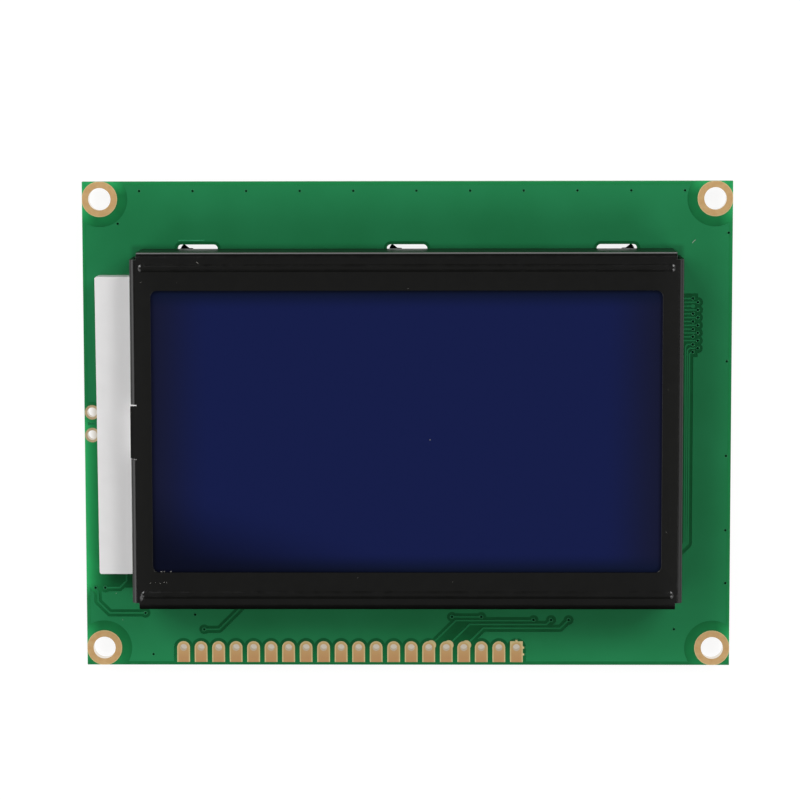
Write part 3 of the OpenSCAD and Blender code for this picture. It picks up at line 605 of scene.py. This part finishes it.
def zebra_rubber():
    """Layered silicone rubber: dark conducting layers between pinkish insulating ones."""
    made, tree, shader, place = new_material("layered_silicone_rubber", {"Roughness": 0.6})
    # Real layers are a few hundredths of a millimetre, drawn far coarser so that they show
    layers = add(tree, "ShaderNodeTexWave", {"wave_type": "BANDS", "bands_direction": "X"},
                 {"Vector": place, "Scale": WAVE_SCALE, "Distortion": 0.0})
    carbon = add(tree, "ShaderNodeMath", {"operation": "GREATER_THAN"}, {0: layers.outputs["Fac"], 1: 0.5})
    tone = add(tree, "ShaderNodeMix", BLEND, {0: carbon.outputs[0], 6: srgb("#b08484"), 7: srgb("#2a2422")})
    feed(tree, shader, {"Base Color": tone.outputs[2]})
    return made


def tinned_metal():
    """Tin and solder: pale grey metal, dull in patches."""
    made, tree, shader, place = new_material("tinned_metal", {"Metallic": 0.8})
    feed(tree, shader, {"Base Color": two_tone(tree, place, 0.5 * MM, srgb("#d2d3d4"), srgb("#b4b6b7")),
                        "Roughness": mottle(tree, place, 0.3 * MM, 0.28, 0.45)})
    return made


def epoxy_drop():
    """Cured black epoxy: a glossy drop with slow waves in its skin."""
    made, tree, shader, place = new_material("cured_black_epoxy", {
        "Coat Weight": 0.4, "Coat Roughness": 0.08})
    feed(tree, shader, {"Base Color": two_tone(tree, place, 1.6 * MM, srgb("#0d0d0e"), srgb("#161617")),
                        "Roughness": mottle(tree, place, 1.0 * MM, 0.22, 0.34)})
    grain(tree, shader, place, 2.2 * MM, 0.05 * MM, 0.35)
    return made


def fired_body(name, light, dark):
    """Fired ceramic or printed body of a chip: matt and speckled."""
    made, tree, shader, place = new_material(name)
    feed(tree, shader, {"Base Color": two_tone(tree, place, 0.25 * MM, srgb(light), srgb(dark)),
                        "Roughness": mottle(tree, place, 0.3 * MM, 0.4, 0.6)})
    return made


def plain_grain(name, light, dark, roughness, size, shine=0.5):
    """Film, laminate or dust: matt, with a faint mottle of the given size."""
    made, tree, shader, place = new_material(name, {"Roughness": roughness, "Specular IOR Level": shine})
    feed(tree, shader, {"Base Color": two_tone(tree, place, size, light, dark)})
    return made


def dress(finish, *nodes):
    """Gives CAD nodes a finish."""
    for node in nodes:
        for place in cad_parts[node].material_slots:
            place.material = finish


# Building pieces: what counts as one point, one flat face and a sharp edge, and the steps of a rounded edge

MERGE_WITHIN = 0.0005 * MM
FLAT_WITHIN = math.radians(0.5)
SHARP_FROM = math.radians(50)
EDGE_STEPS = 3


def new_piece(name, mesh):
    """Object at the origin that holds a mesh."""
    piece = bpy.data.objects.new(name, mesh)
    bpy.context.scene.collection.objects.link(piece)
    return piece


def keep_as_mesh(piece):
    """Turns the modifiers of a piece into plain mesh."""
    graph = bpy.context.evaluated_depsgraph_get()
    mesh = bpy.data.meshes.new_from_object(piece.evaluated_get(graph), preserve_all_data_layers=True,
                                           depsgraph=graph)
    old = piece.data
    piece.modifiers.clear()
    piece.data = mesh
    bpy.data.meshes.remove(old)


def rounded_copy(node, name, radius, finish):
    """Copy of a CAD node with its sharp edges rounded, which stands for that node."""
    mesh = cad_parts[node].data.copy()
    work = bmesh.new()
    work.from_mesh(mesh)
    bmesh.ops.remove_doubles(work, verts=work.verts, dist=MERGE_WITHIN)
    bmesh.ops.dissolve_limit(work, angle_limit=FLAT_WITHIN, verts=work.verts, edges=work.edges)
    work.to_mesh(mesh)
    work.free()
    mesh.shade_smooth()
    mesh.materials.clear()
    mesh.materials.append(finish)
    piece = new_piece(name, mesh)
    bevel = piece.modifiers.new("rounded_edges", "BEVEL")
    bevel.width = radius
    bevel.segments = EDGE_STEPS
    bevel.limit_method = "ANGLE"
    bevel.angle_limit = SHARP_FROM
    bevel.use_clamp_overlap = True
    flat = piece.modifiers.new("flat_faces", "WEIGHTED_NORMAL")
    flat.keep_sharp = True
    keep_as_mesh(piece)
    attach(piece, "root")
    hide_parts(node)


def new_tree(name, sizes):
    """Geometry Nodes tree with a mesh input, named number inputs and a mesh output."""
    tree = bpy.data.node_groups.new(name, "GeometryNodeTree")
    tree.interface.new_socket("Mesh", in_out="INPUT", socket_type="NodeSocketGeometry")
    for label in sizes:
        kind = "NodeSocketInt" if label == "Seed" else "NodeSocketFloat"
        tree.interface.new_socket(label, in_out="INPUT", socket_type=kind)
    tree.interface.new_socket("Mesh", in_out="OUTPUT", socket_type="NodeSocketGeometry")
    return tree, add(tree, "NodeGroupInput").outputs


def close_tree(tree, socket, finish):
    """Ends a tree: makes its instances real and gives them their finish."""
    real = add(tree, "GeometryNodeRealizeInstances", inputs={0: socket})
    painted = add(tree, "GeometryNodeSetMaterial", inputs={"Geometry": real.outputs[0], "Material": finish})
    add(tree, "NodeGroupOutput", inputs={0: painted.outputs[0]})
    return tree


def grow(name, mesh, tree, sizes):
    """Runs a tree on a mesh and keeps the result as a piece on the module's body."""
    piece = new_piece(name, mesh)
    growth = piece.modifiers.new(tree.name, "NODES")
    growth.node_group = tree
    for item in tree.interface.items_tree:
        if item.in_out == "INPUT" and item.name in sizes:
            growth[item.identifier] = sizes[item.name]
    keep_as_mesh(piece)
    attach(piece, "root")


def lay(name, mesh, finish):
    """Puts a finished mesh on the module's body as a piece."""
    mesh.materials.append(finish)
    piece = new_piece(name, mesh)
    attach(piece, "root")


def lines_mesh(name, routes, z):
    """Mesh of open lines through the given points, in millimetres, at a level in metres."""
    points = []
    edges = []
    for route in routes:
        first = len(points)
        points += [(x * MM, y * MM, z) for x, y in route]
        edges += [(first + i, first + i + 1) for i in range(len(route) - 1)]
    mesh = bpy.data.meshes.new(name)
    mesh.from_pydata(points, edges, [])
    return mesh


def sheet_mesh(name, rectangles):
    """Mesh of flat rectangles, each given as x, y, width, height and level in metres."""
    vertices = []
    faces = []
    for x, y, w, h, z in rectangles:
        first = len(vertices)
        vertices += [(x, y, z), (x + w, y, z), (x + w, y + h, z), (x, y + h, z)]
        faces.append((first, first + 1, first + 2, first + 3))
    mesh = bpy.data.meshes.new(name)
    mesh.from_pydata(vertices, [], faces)
    return mesh


def plates_mesh(name, rectangles, low, high):
    """Mesh of thin plates between two levels, each given as x, y, width and height in millimetres."""
    work = bmesh.new()
    for x, y, w, h in rectangles:
        corners = bmesh.ops.create_cube(work, size=1.0)["verts"]
        bmesh.ops.scale(work, vec=(w * MM, h * MM, high - low), verts=corners)
        bmesh.ops.translate(work, vec=((x + w / 2) * MM, (y + h / 2) * MM, (low + high) / 2), verts=corners)
    mesh = bpy.data.meshes.new(name)
    work.to_mesh(mesh)
    work.free()
    return mesh


# Vias, in millimetres from the board's middle: their places, and the depth of the painted-shade plug in each
# mouth

ROW_Y = 33.65
ROW_STARTS = ((-38.3, 5), (1.35, 6))
ROW_PITCH = 7.66
LOOSE_VIAS = ((-41.4, 29.0), (45.9, 27.6), (45.8, 9.15), (45.8, -4.5), (45.8, -15.3), (45.85, -23.0),
              (38.5, -29.75), (-30.8, -27.65), (-36.9, -33.45))
TRACE_VIAS = ((-45.2, -23.7), (-43.8, -23.7), (-38.0, -27.4), (-29.5, -29.8), (6.4, -27.95),
              (10.65, -27.95), (18.2, -28.4), (20.74, -28.4), (23.28, -28.4))
BLOCK_START = (40.9, 18.2)
BLOCK_STEP = (0.7, -0.55)
BLOCK_COUNT = 15
BLOCK_BLIND = 2
PLUG_DEPTH = 0.012


def via_places(z):
    """Places of all vias at a level, in metres."""
    places = [(start + i * ROW_PITCH, ROW_Y) for start, count in ROW_STARTS for i in range(count)]
    places += LOOSE_VIAS
    places += TRACE_VIAS
    places += [(BLOCK_START[0] + (k % 2) * BLOCK_STEP[0], BLOCK_START[1] + k * BLOCK_STEP[1])
               for k in range(BLOCK_COUNT) if k != BLOCK_BLIND]
    return [(x * MM, y * MM, z) for x, y in places]


def points_mesh(name, places):
    """Mesh of loose points."""
    mesh = bpy.data.meshes.new(name)
    mesh.from_pydata(places, [], [])
    return mesh


def via_lip_tree(finish):
    """Tree that lays a thin ring about each via."""
    tree, size = new_tree("via_lips", ("Ring", "Wire"))
    ring = add(tree, "GeometryNodeCurvePrimitiveCircle", inputs={"Resolution": 20, "Radius": size["Ring"]})
    wire = add(tree, "GeometryNodeCurvePrimitiveCircle", inputs={"Resolution": 8, "Radius": size["Wire"]})
    lip = add(tree, "GeometryNodeCurveToMesh", inputs={
        "Curve": ring.outputs[0], "Profile Curve": wire.outputs[0]})
    flat = add(tree, "GeometryNodeTransform", inputs={"Geometry": lip.outputs[0], "Scale": (1, 1, 0.35)})
    placed = add(tree, "GeometryNodeInstanceOnPoints", inputs={
        "Points": size["Mesh"], "Instance": flat.outputs[0]})
    return close_tree(tree, placed.outputs[0], finish)


def via_bore_tree(finish):
    """Tree that lays a thin dark plug, painted shade for the bore, in the mouth of each via."""
    tree, size = new_tree("via_bores", ("Bore", "Depth"))
    mouth = add(tree, "GeometryNodeMeshCylinder", {"fill_type": "NGON"}, {
        "Vertices": 20, "Radius": size["Bore"], "Depth": size["Depth"]})
    placed = add(tree, "GeometryNodeInstanceOnPoints", inputs={
        "Points": size["Mesh"], "Instance": mouth.outputs[0]})
    return close_tree(tree, placed.outputs[0], finish)


# Traces on the back, from the drops of epoxy to the rubber connectors and the header row, in millimetres

DROP_PITCH = 24.0
DROP_Y = -3.0
DROP_R = 7.5
FAN_COUNT = 15
FAN_PITCH = 0.8
FAN_RUN = 2.5
STRIP_Y = 21.0
STRIP_GAP = 1.0
SPREAD_PITCH = 1.35
HEADER_FIRST_X = -32.53
HEADER_PITCH = 2.54
HEADER_COUNT = 20
HEADER_Y = -32.46
HEADER_GAP = 1.2
HEADER_LEVEL = -27.0
LEVEL_STEP = 0.45
LEVEL_COUNT = 5
SIDESTEP = 1.6


def fan_routes(middle, side):
    """Routes from one drop of epoxy up or down to the row of contacts, spreading at 45 degrees."""
    routes = []
    for k in range(FAN_COUNT):
        step = k - (FAN_COUNT - 1) / 2
        x = middle + step * FAN_PITCH
        end = middle + step * SPREAD_PITCH
        start = DROP_Y + side * math.sqrt(DROP_R ** 2 - (step * FAN_PITCH) ** 2)
        turn = DROP_Y + side * (DROP_R + FAN_RUN)
        bend = [(end, turn + side * abs(end - x))] if step else []
        routes.append([(x, start), (x, turn), *bend, (end, side * STRIP_Y)])
    return routes


def header_routes():
    """Routes that leave each header pad, step aside at levels that take turns and run on to the contacts."""
    routes = []
    for i in range(HEADER_COUNT):
        x = HEADER_FIRST_X + i * HEADER_PITCH
        turn = HEADER_LEVEL + LEVEL_STEP * (i % LEVEL_COUNT)
        routes.append([(x, HEADER_Y + HEADER_GAP), (x, turn), (x + SIDESTEP, turn + SIDESTEP),
                       (x + SIDESTEP, -STRIP_Y - STRIP_GAP)])
    return routes


def trace_tree(finish):
    """Tree that turns lines into flat traces."""
    tree, size = new_tree("traces", ("Width", "Height"))
    path = add(tree, "GeometryNodeMeshToCurve", inputs={"Mesh": size["Mesh"]})
    upright = add(tree, "GeometryNodeSetCurveNormal", {"mode": "Z_UP"}, {"Curve": path.outputs[0]})
    section = add(tree, "GeometryNodeCurvePrimitiveQuadrilateral", inputs={
        "Width": size["Width"], "Height": size["Height"]})
    ribbon = add(tree, "GeometryNodeCurveToMesh", inputs={
        "Curve": upright.outputs[0], "Profile Curve": section.outputs[0], "Fill Caps": True})
    return close_tree(tree, ribbon.outputs[0], finish)


# Chips on the back: rows as number, pitch and place across the board, their lands and solder, in millimetres

CHIP_ROWS = ((6, 4.0, -17.0), (4, 12.0, 11.0))
CHIP_LENGTH = 2.0
LAND = (1.0, 1.5)
LAND_HEIGHT = 0.03
SOLDER_OUT = 0.12
SOLDER = {"Long": 0.3 * MM, "Wide": 0.58 * MM, "High": 0.35 * MM}


def chip_ends():
    """Places of the ends of all chips, in millimetres, with the side on which the chip lies."""
    return [((i - (count - 1) / 2) * pitch + side * CHIP_LENGTH / 2, y, side)
            for count, pitch, y in CHIP_ROWS for i in range(count) for side in (-1, 1)]


def fillet_tree(finish):
    """Tree that puts a flattened drop of solder on each point."""
    tree, size = new_tree("solder_fillets", ("Long", "Wide", "High"))
    drop = add(tree, "GeometryNodeMeshUVSphere", inputs={"Segments": 20, "Rings": 12, "Radius": 1.0})
    smooth = add(tree, "GeometryNodeSetShadeSmooth", inputs={"Geometry": drop.outputs[0]})
    size_of = add(tree, "ShaderNodeCombineXYZ", inputs={
        "X": size["Long"], "Y": size["Wide"], "Z": size["High"]})
    placed = add(tree, "GeometryNodeInstanceOnPoints", inputs={
        "Points": size["Mesh"], "Instance": smooth.outputs[0], "Scale": size_of.outputs[0]})
    return close_tree(tree, placed.outputs[0], finish)


# Dust and small marks: those that lie loose by chance, and lone ones at their places in millimetres

FILM_MARKS = (((3.22, -1.14), (3.38, -1.12)), ((-34.98, -19.92), (-34.72, -19.95)),
              ((-34.5, -19.96), (-34.35, -19.92)), ((-33.6, -19.86), (-33.42, -19.96)))
BEZEL_MARKS = (((-29.5, 24.1), (-29.2, 23.85)), ((-36.45, -21.55), (-36.3, -21.5)),
               ((-35.75, -21.42), (-35.62, -21.46)), ((-35.05, -21.52), (-34.9, -21.6)),
               ((-34.5, -21.4), (-34.36, -21.42)), ((-34.15, -21.48), (-34.03, -21.45)))
BOARD_MARKS = (((40.75, 26.15), (40.95, 26.4), (41.2, 26.6)), ((-42.3, -24.54), (-42.16, -24.5)),
               ((-41.36, -28.42), (-41.28, -28.4)))
SEAM = ((-32.72, 26.59), (-28.99, 26.59))
SEAM_SECTION = {"Width": 0.13 * MM, "Height": 0.03 * MM}
DUST_REACH = 22.0 * MM
DUST_MARGIN = 1.5 * MM


def dust_tree(finish):
    """Tree that strews flattened specks of random size and turn over the faces."""
    tree, size = new_tree("dust", ("Density", "Small", "Large", "Seed"))
    strewn = add(tree, "GeometryNodeDistributePointsOnFaces", inputs={
        "Mesh": size["Mesh"], "Density": size["Density"], "Seed": size["Seed"]})
    speck = add(tree, "GeometryNodeMeshIcoSphere", inputs={"Radius": 1.0, "Subdivisions": 1})
    flat = add(tree, "GeometryNodeTransform", inputs={"Geometry": speck.outputs[0], "Scale": (1, 1, 0.5)})
    spread = add(tree, "FunctionNodeRandomValue", {"data_type": "FLOAT"}, {
        "Min": size["Small"], "Max": size["Large"], "Seed": size["Seed"]})
    turn = add(tree, "FunctionNodeRandomValue", {"data_type": "FLOAT_VECTOR"}, {
        0: (0, 0, 0), 1: (0, 0, math.tau), "Seed": size["Seed"]})
    placed = add(tree, "GeometryNodeInstanceOnPoints", inputs={
        "Points": strewn.outputs["Points"], "Instance": flat.outputs[0],
        "Rotation": turn.outputs[0], "Scale": spread.outputs[1]})
    return close_tree(tree, placed.outputs[0], finish)


# Operators


class LCD_OT_board(bpy.types.Operator):
    """Finish the printed board, its copper and its gold plating"""
    bl_idname = "lcd.board"
    bl_label = "Board and copper"

    def execute(self, context):
        look = context.scene.lcd_board
        dress(mask_over_laminate(look), "pcb")
        dress(mask_over_copper(look), "front_copper")
        gold = context.scene.lcd_gold
        for node, name, part, fade, rim in (
                ("mounting_rings", "gold_on_rings", "ring", None, ring_outline_highlight),
                ("header_pads", "gold_on_pads", "pad", PAD_FADE, pad_outline_highlight),
                ("backlight_pads", "gold_on_terminals", "terminal", None, None)):
            dress(gold_plating(name, gold, part, fade, rim), node)
        return {"FINISHED"}


class LCD_OT_vias(bpy.types.Operator):
    """Lay the vias on both faces of the board"""
    bl_idname = "lcd.vias"
    bl_label = "Vias"

    def execute(self, context):
        look = context.scene.lcd_via
        # A dark plug in each mouth: painted shade for the bore
        inside = plain_grain("via_bore_shade", look.bore_shade, srgb("#082014"), 0.7, 0.1 * MM, 0.0)
        lips = via_lip_tree(bpy.data.materials["solder_mask_over_copper"])
        bores = via_bore_tree(inside)
        for face, z in (("front", MASK_Z), ("back", BACK_Z)):
            places = via_places(z)
            grow(face + "_via_lips", points_mesh(face + "_via_lips", places), lips,
                 {"Ring": look.lip, "Wire": look.lip_wire})
            grow(face + "_via_bores", points_mesh(face + "_via_bores", places), bores,
                 {"Bore": look.bore, "Depth": PLUG_DEPTH * MM})
        return {"FINISHED"}


class LCD_OT_bezel(bpy.types.Operator):
    """Round the bezel's sheared edges and paint it"""
    bl_idname = "lcd.bezel"
    bl_label = "Bezel"

    def execute(self, context):
        look = context.scene.lcd_bezel
        rounded_copy("bezel", "painted_bezel", look.edge, bezel_paint(look))
        return {"FINISHED"}


class LCD_OT_cell(bpy.types.Operator):
    """Finish the display cell and the rubber connectors under it"""
    bl_idname = "lcd.cell"
    bl_label = "Display cell"

    def execute(self, context):
        dress(polariser_film(context.scene.lcd_cell), "front_polariser", "rear_polariser")
        dress(clear_solid("float_glass", "#dfeee8", 0.02, 12 * MM), "front_glass", "rear_glass")
        dress(zebra_rubber(), "zebra_strip_upper", "zebra_strip_lower")
        return {"FINISHED"}


class LCD_OT_backlight(bpy.types.Operator):
    """Finish the backlight frame and what it holds"""
    bl_idname = "lcd.backlight"
    bl_label = "Backlight"

    def execute(self, context):
        look = context.scene.lcd_lug
        rounded_copy("backlight_frame", "moulded_frame", look.edge, moulded_white(look))
        dress(clear_solid("clear_acrylic", "#f2f6f6", 0.04, 8 * MM), "light_guide")
        dress(plain_grain("white_film", srgb("#f1f1ee"), srgb("#e6e6e2"), 0.55, 1.0 * MM),
              "diffuser_sheet", "reflector_sheet")
        dress(plain_grain("led_laminate", srgb("#e6e0c8"), srgb("#d5cdb0"), 0.5, 0.5 * MM), "led_board")
        dress(plain_grain("led_resin", srgb("#efe9ae"), srgb("#e2d98f"), 0.3, 0.4 * MM), "leds")
        dress(tinned_metal(), "backlight_pins", "pin_solder")
        return {"FINISHED"}


class LCD_OT_back(bpy.types.Operator):
    """Finish the drops of epoxy, the chips, their solder and the traces on the back"""
    bl_idname = "lcd.back"
    bl_label = "Back of the board"

    def execute(self, context):
        dress(epoxy_drop(), "controller_blob", "driver_blob_left", "driver_blob_right")
        dress(fired_body("printed_resistor", "#18181a", "#242427"), "chip_resistors")
        dress(fired_body("fired_ceramic", "#a37a54", "#8f6845"), "chip_capacitors")
        tin = bpy.data.materials["tinned_metal"]
        dress(tin, "chip_end_caps")
        ends = chip_ends()
        lands = [(x - LAND[0] / 2, y - LAND[1] / 2, *LAND) for x, y, side in ends]
        lay("chip_lands", plates_mesh("chip_lands", lands, BACK_Z - LAND_HEIGHT * MM, BACK_Z), tin)
        drops = [((x + side * SOLDER_OUT) * MM, y * MM, BACK_Z) for x, y, side in ends]
        grow("chip_solder", points_mesh("chip_solder", drops), fillet_tree(tin), SOLDER)
        look = context.scene.lcd_trace
        routes = header_routes()
        for k in (-1, 0, 1):
            for side in (-1, 1):
                routes += fan_routes(k * DROP_PITCH, side)
        grow("back_traces", lines_mesh("back_traces", routes, BACK_Z),
             trace_tree(bpy.data.materials["solder_mask_over_copper"]),
             {"Width": look.width, "Height": 2 * look.height})
        return {"FINISHED"}


class LCD_OT_dust(bpy.types.Operator):
    """Strew a little dust over the front"""
    bl_idname = "lcd.dust"
    bl_label = "Dust"

    def execute(self, context):
        look = context.scene.lcd_dust
        rim_x = BEZEL_HIGH.x - DUST_MARGIN - WINDOW_HALF_X
        rim_y = DUST_REACH - WINDOW_HALF_Y
        wide = 2 * WINDOW_HALF_X
        faces = [
            (-WINDOW_HALF_X, -DUST_REACH, wide, rim_y, FRONT_Z),
            (-WINDOW_HALF_X, WINDOW_HALF_Y, wide, rim_y, FRONT_Z),
            (-WINDOW_HALF_X - rim_x, -DUST_REACH, rim_x, 2 * DUST_REACH, FRONT_Z),
            (WINDOW_HALF_X, -DUST_REACH, rim_x, 2 * DUST_REACH, FRONT_Z),
        ]
        finish = plain_grain("house_dust", look.tint, srgb("#8f8c86"), 0.9, 0.05 * MM)
        grow("dust_specks", sheet_mesh("dust_specks", faces), dust_tree(finish),
             {"Density": look.density, "Small": look.small, "Large": look.large, "Seed": look.seed})
        fibre = trace_tree(finish)
        for place, marks, z, share, slot in (("film", FILM_MARKS, FILM_Z, 0.9, "polariser_film"),
                                             ("bezel", BEZEL_MARKS, FRONT_Z, 0.5, "black_bezel"),
                                             ("board", BOARD_MARKS, MASK_Z, 1.0, "masked_copper")):
            name = "fibres_on_" + place
            grow(name, lines_mesh(name, marks, z), fibre,
                 {"Width": share * look.fibre, "Height": 0.5 * share * look.fibre})
        # A thin raised seam in the mask beside the first slot, drawn lighter as a painted highlight where the
        # mask steps
        seam = plain_grain("mask_seam_and_highlight", look.seam, srgb("#2f9160"), 0.3, 1.0 * MM)
        grow("mask_seam", lines_mesh("mask_seam", (SEAM,), MASK_Z), trace_tree(seam), SEAM_SECTION)
        return {"FINISHED"}


# Stage: camera as fitted to the photograph, in millimetres and degrees, and floor and lamps in metres

CAMERA_PLACE = (5.844, 52.318, 461.644)
CAMERA_TURN = (-6.0662, 0.8497, -0.1189)
CAMERA_LENS = 144.33
CAMERA_SENSOR = 36.0
CAMERA_NEAR = 0.01
FLOOR_REACH = 1.5
FLOOR_GAP = 0.02 * MM
SOFTBOX_OUT = 0.9
SOFTBOX_UP = 0.4
SOFTBOX_SIZE = (1.2, 0.7)
LAMP_OUT = 0.55
LAMP_UP = 0.78
LAMP_SIZE = (0.5, 0.5)
WATTS_AT_WHITE = 4
OVERHEAD_WAY = (0.14, -0.05, 0.989)
OVERHEAD_SPAN = (0.86, 0.985)


def shade_under(tree, place):
    """Socket with the board's shade on the floor, open under the mounting holes and the slots."""
    along = rim_distances(tree, place, BOARD_HIGH.x, BOARD_HIGH.y)[1]
    slots = add(tree, "ShaderNodeMath", {"operation": "SUBTRACT"}, {0: along, 1: SLOT_EDGE})
    slots = add(tree, "ShaderNodeMath", UNSIGNED, {0: slots.outputs[0]})
    shade = 1.0
    # Distances in millimetres at which the shade begins and is full
    for gap, start, end in ((edge_distance(tree, place), 0.0, 1.6), (mount_distance(tree, place), 2.4, 3.2),
                            (slots.outputs[0], 1.4, 2.2)):
        part = add(tree, "ShaderNodeMapRange", SMOOTH, {
            "Value": gap, "From Min": start * MM, "From Max": end * MM})
        shade = add(tree, "ShaderNodeMath", TIMES, {0: shade, 1: part.outputs["Result"]}).outputs[0]
    return shade


def white_floor(look):
    """Pale matt floor that keeps the shadow; the camera, mirrors and clear pieces see it near white."""
    made, tree, shader, place = new_material("pale_floor", {
        "Roughness": 0.9, "Base Color": look.floor, "Specular IOR Level": 0.0})
    rays = add(tree, "ShaderNodeLightPath").outputs
    sees = rays["Is Camera Ray"]
    for ray in ("Is Glossy Ray", "Is Transmission Ray"):
        sees = add(tree, "ShaderNodeMath", LARGER, {0: sees, 1: rays[ray]}).outputs[0]
    tone = add(tree, "ShaderNodeMix", BLEND,
               {0: shade_under(tree, place), 6: look.floor_seen, 7: look.floor_shade})
    glow = add(tree, "ShaderNodeEmission", inputs={"Color": tone.outputs[2], "Strength": sees})
    both = add(tree, "ShaderNodeAddShader", inputs={0: shader.outputs[0], 1: glow.outputs[0]})
    feed(tree, tree.nodes["Material Output"], {"Surface": both.outputs[0]})
    return made


def studio(look):
    """Room light: a soft pale patch overhead and dim walls."""
    world = bpy.data.worlds.new("studio")
    world.use_nodes = True
    tree = world.node_tree
    way = add(tree, "ShaderNodeTexCoord").outputs["Generated"]
    upward = add(tree, "ShaderNodeVectorMath", {"operation": "DOT_PRODUCT"}, {0: way, 1: OVERHEAD_WAY})
    patch = add(tree, "ShaderNodeMapRange", SMOOTH, {
        "Value": upward.outputs["Value"], "From Min": OVERHEAD_SPAN[0], "From Max": OVERHEAD_SPAN[1],
        "To Min": look.walls, "To Max": look.overhead})
    feed(tree, tree.nodes["Background"], {"Color": (1, 1, 1, 1), "Strength": patch.outputs["Result"]})
    bpy.context.scene.world = world


def softbox(name, place, size, brightness):
    """Rectangular lamp that looks at the module; its brightness counts white as 1."""
    data = bpy.data.lights.new(name, "AREA")
    data.shape = "RECTANGLE"
    data.size, data.size_y = size
    data.energy = brightness * WATTS_AT_WHITE * size[0] * size[1]
    lamp = bpy.data.objects.new(name, data)
    lamp.location = place
    lamp.rotation_euler = (-Vector(place)).to_track_quat("-Z", "Y").to_euler()
    bpy.context.scene.collection.objects.link(lamp)


class LCD_OT_stage(bpy.types.Operator):
    """Set up the floor, the lamps and the camera"""
    bl_idname = "lcd.stage"
    bl_label = "Stage"

    def execute(self, context):
        look = context.scene.lcd_stage
        floor = new_piece("floor", sheet_mesh("floor", [
            (-FLOOR_REACH, -FLOOR_REACH, 2 * FLOOR_REACH, 2 * FLOOR_REACH, CAD_LOW.z - FLOOR_GAP)]))
        floor.data.materials.append(white_floor(look))
        studio(look)
        for name, x, bright in (("left", -1, look.left_level), ("right", 1, look.right_level)):
            softbox(name + "_softbox", (x * SOFTBOX_OUT, 0.0, SOFTBOX_UP), SOFTBOX_SIZE, bright)
        for name, x, y, bright in (("upper_left", -1, 1, look.upper_level),
                                   ("upper_right", 1, 1, look.upper_level),
                                   ("lower_left", -1, -1, look.lower_left_level),
                                   ("lower_right", 1, -1, look.lower_right_level)):
            softbox(name + "_lamp", (x * LAMP_OUT, y * LAMP_OUT, LAMP_UP), LAMP_SIZE, bright)
        data = bpy.data.cameras.new("photo_camera")
        data.sensor_fit = "HORIZONTAL"
        data.sensor_width = CAMERA_SENSOR
        data.lens = CAMERA_LENS
        data.clip_start = CAMERA_NEAR
        camera = bpy.data.objects.new("photo_camera", data)
        camera.location = Vector(CAMERA_PLACE) * MM
        camera.rotation_euler = [math.radians(turn) for turn in CAMERA_TURN]
        context.scene.collection.objects.link(camera)
        context.scene.camera = camera
        context.scene.view_settings.view_transform = "Standard"
        return {"FINISHED"}


class LCD_PT_panel(bpy.types.Panel):
    """Lists the steps that finish the module"""
    bl_label = "LCD module"
    bl_idname = "LCD_PT_panel"
    bl_space_type = "VIEW_3D"
    bl_region_type = "UI"
    bl_category = "LCD module"

    def draw(self, context):
        for step in STEPS:
            self.layout.operator(step.bl_idname)


LOOKS = {"lcd_board": BoardLook, "lcd_via": ViaLook, "lcd_gold": GoldLook, "lcd_bezel": BezelLook,
         "lcd_cell": CellLook, "lcd_lug": LugLook, "lcd_trace": TraceLook, "lcd_dust": DustLook,
         "lcd_stage": StageLook}
STEPS = (LCD_OT_stage, LCD_OT_board, LCD_OT_vias, LCD_OT_bezel, LCD_OT_cell, LCD_OT_backlight,
         LCD_OT_back, LCD_OT_dust)
CLASSES = (*LOOKS.values(), *STEPS, LCD_PT_panel)


def register():
    for kind in CLASSES:
        bpy.utils.register_class(kind)
    for name, kind in LOOKS.items():
        setattr(bpy.types.Scene, name, PointerProperty(type=kind))


def unregister():
    for name in LOOKS:
        delattr(bpy.types.Scene, name)
    for kind in reversed(CLASSES):
        bpy.utils.unregister_class(kind)


def main():
    register()
    bpy.ops.lcd.stage()
    bpy.ops.lcd.board()
    bpy.ops.lcd.vias()
    bpy.ops.lcd.bezel()
    bpy.ops.lcd.cell()
    bpy.ops.lcd.backlight()
    bpy.ops.lcd.back()
    bpy.ops.lcd.dust()


if __name__ == "__main__":
    main()
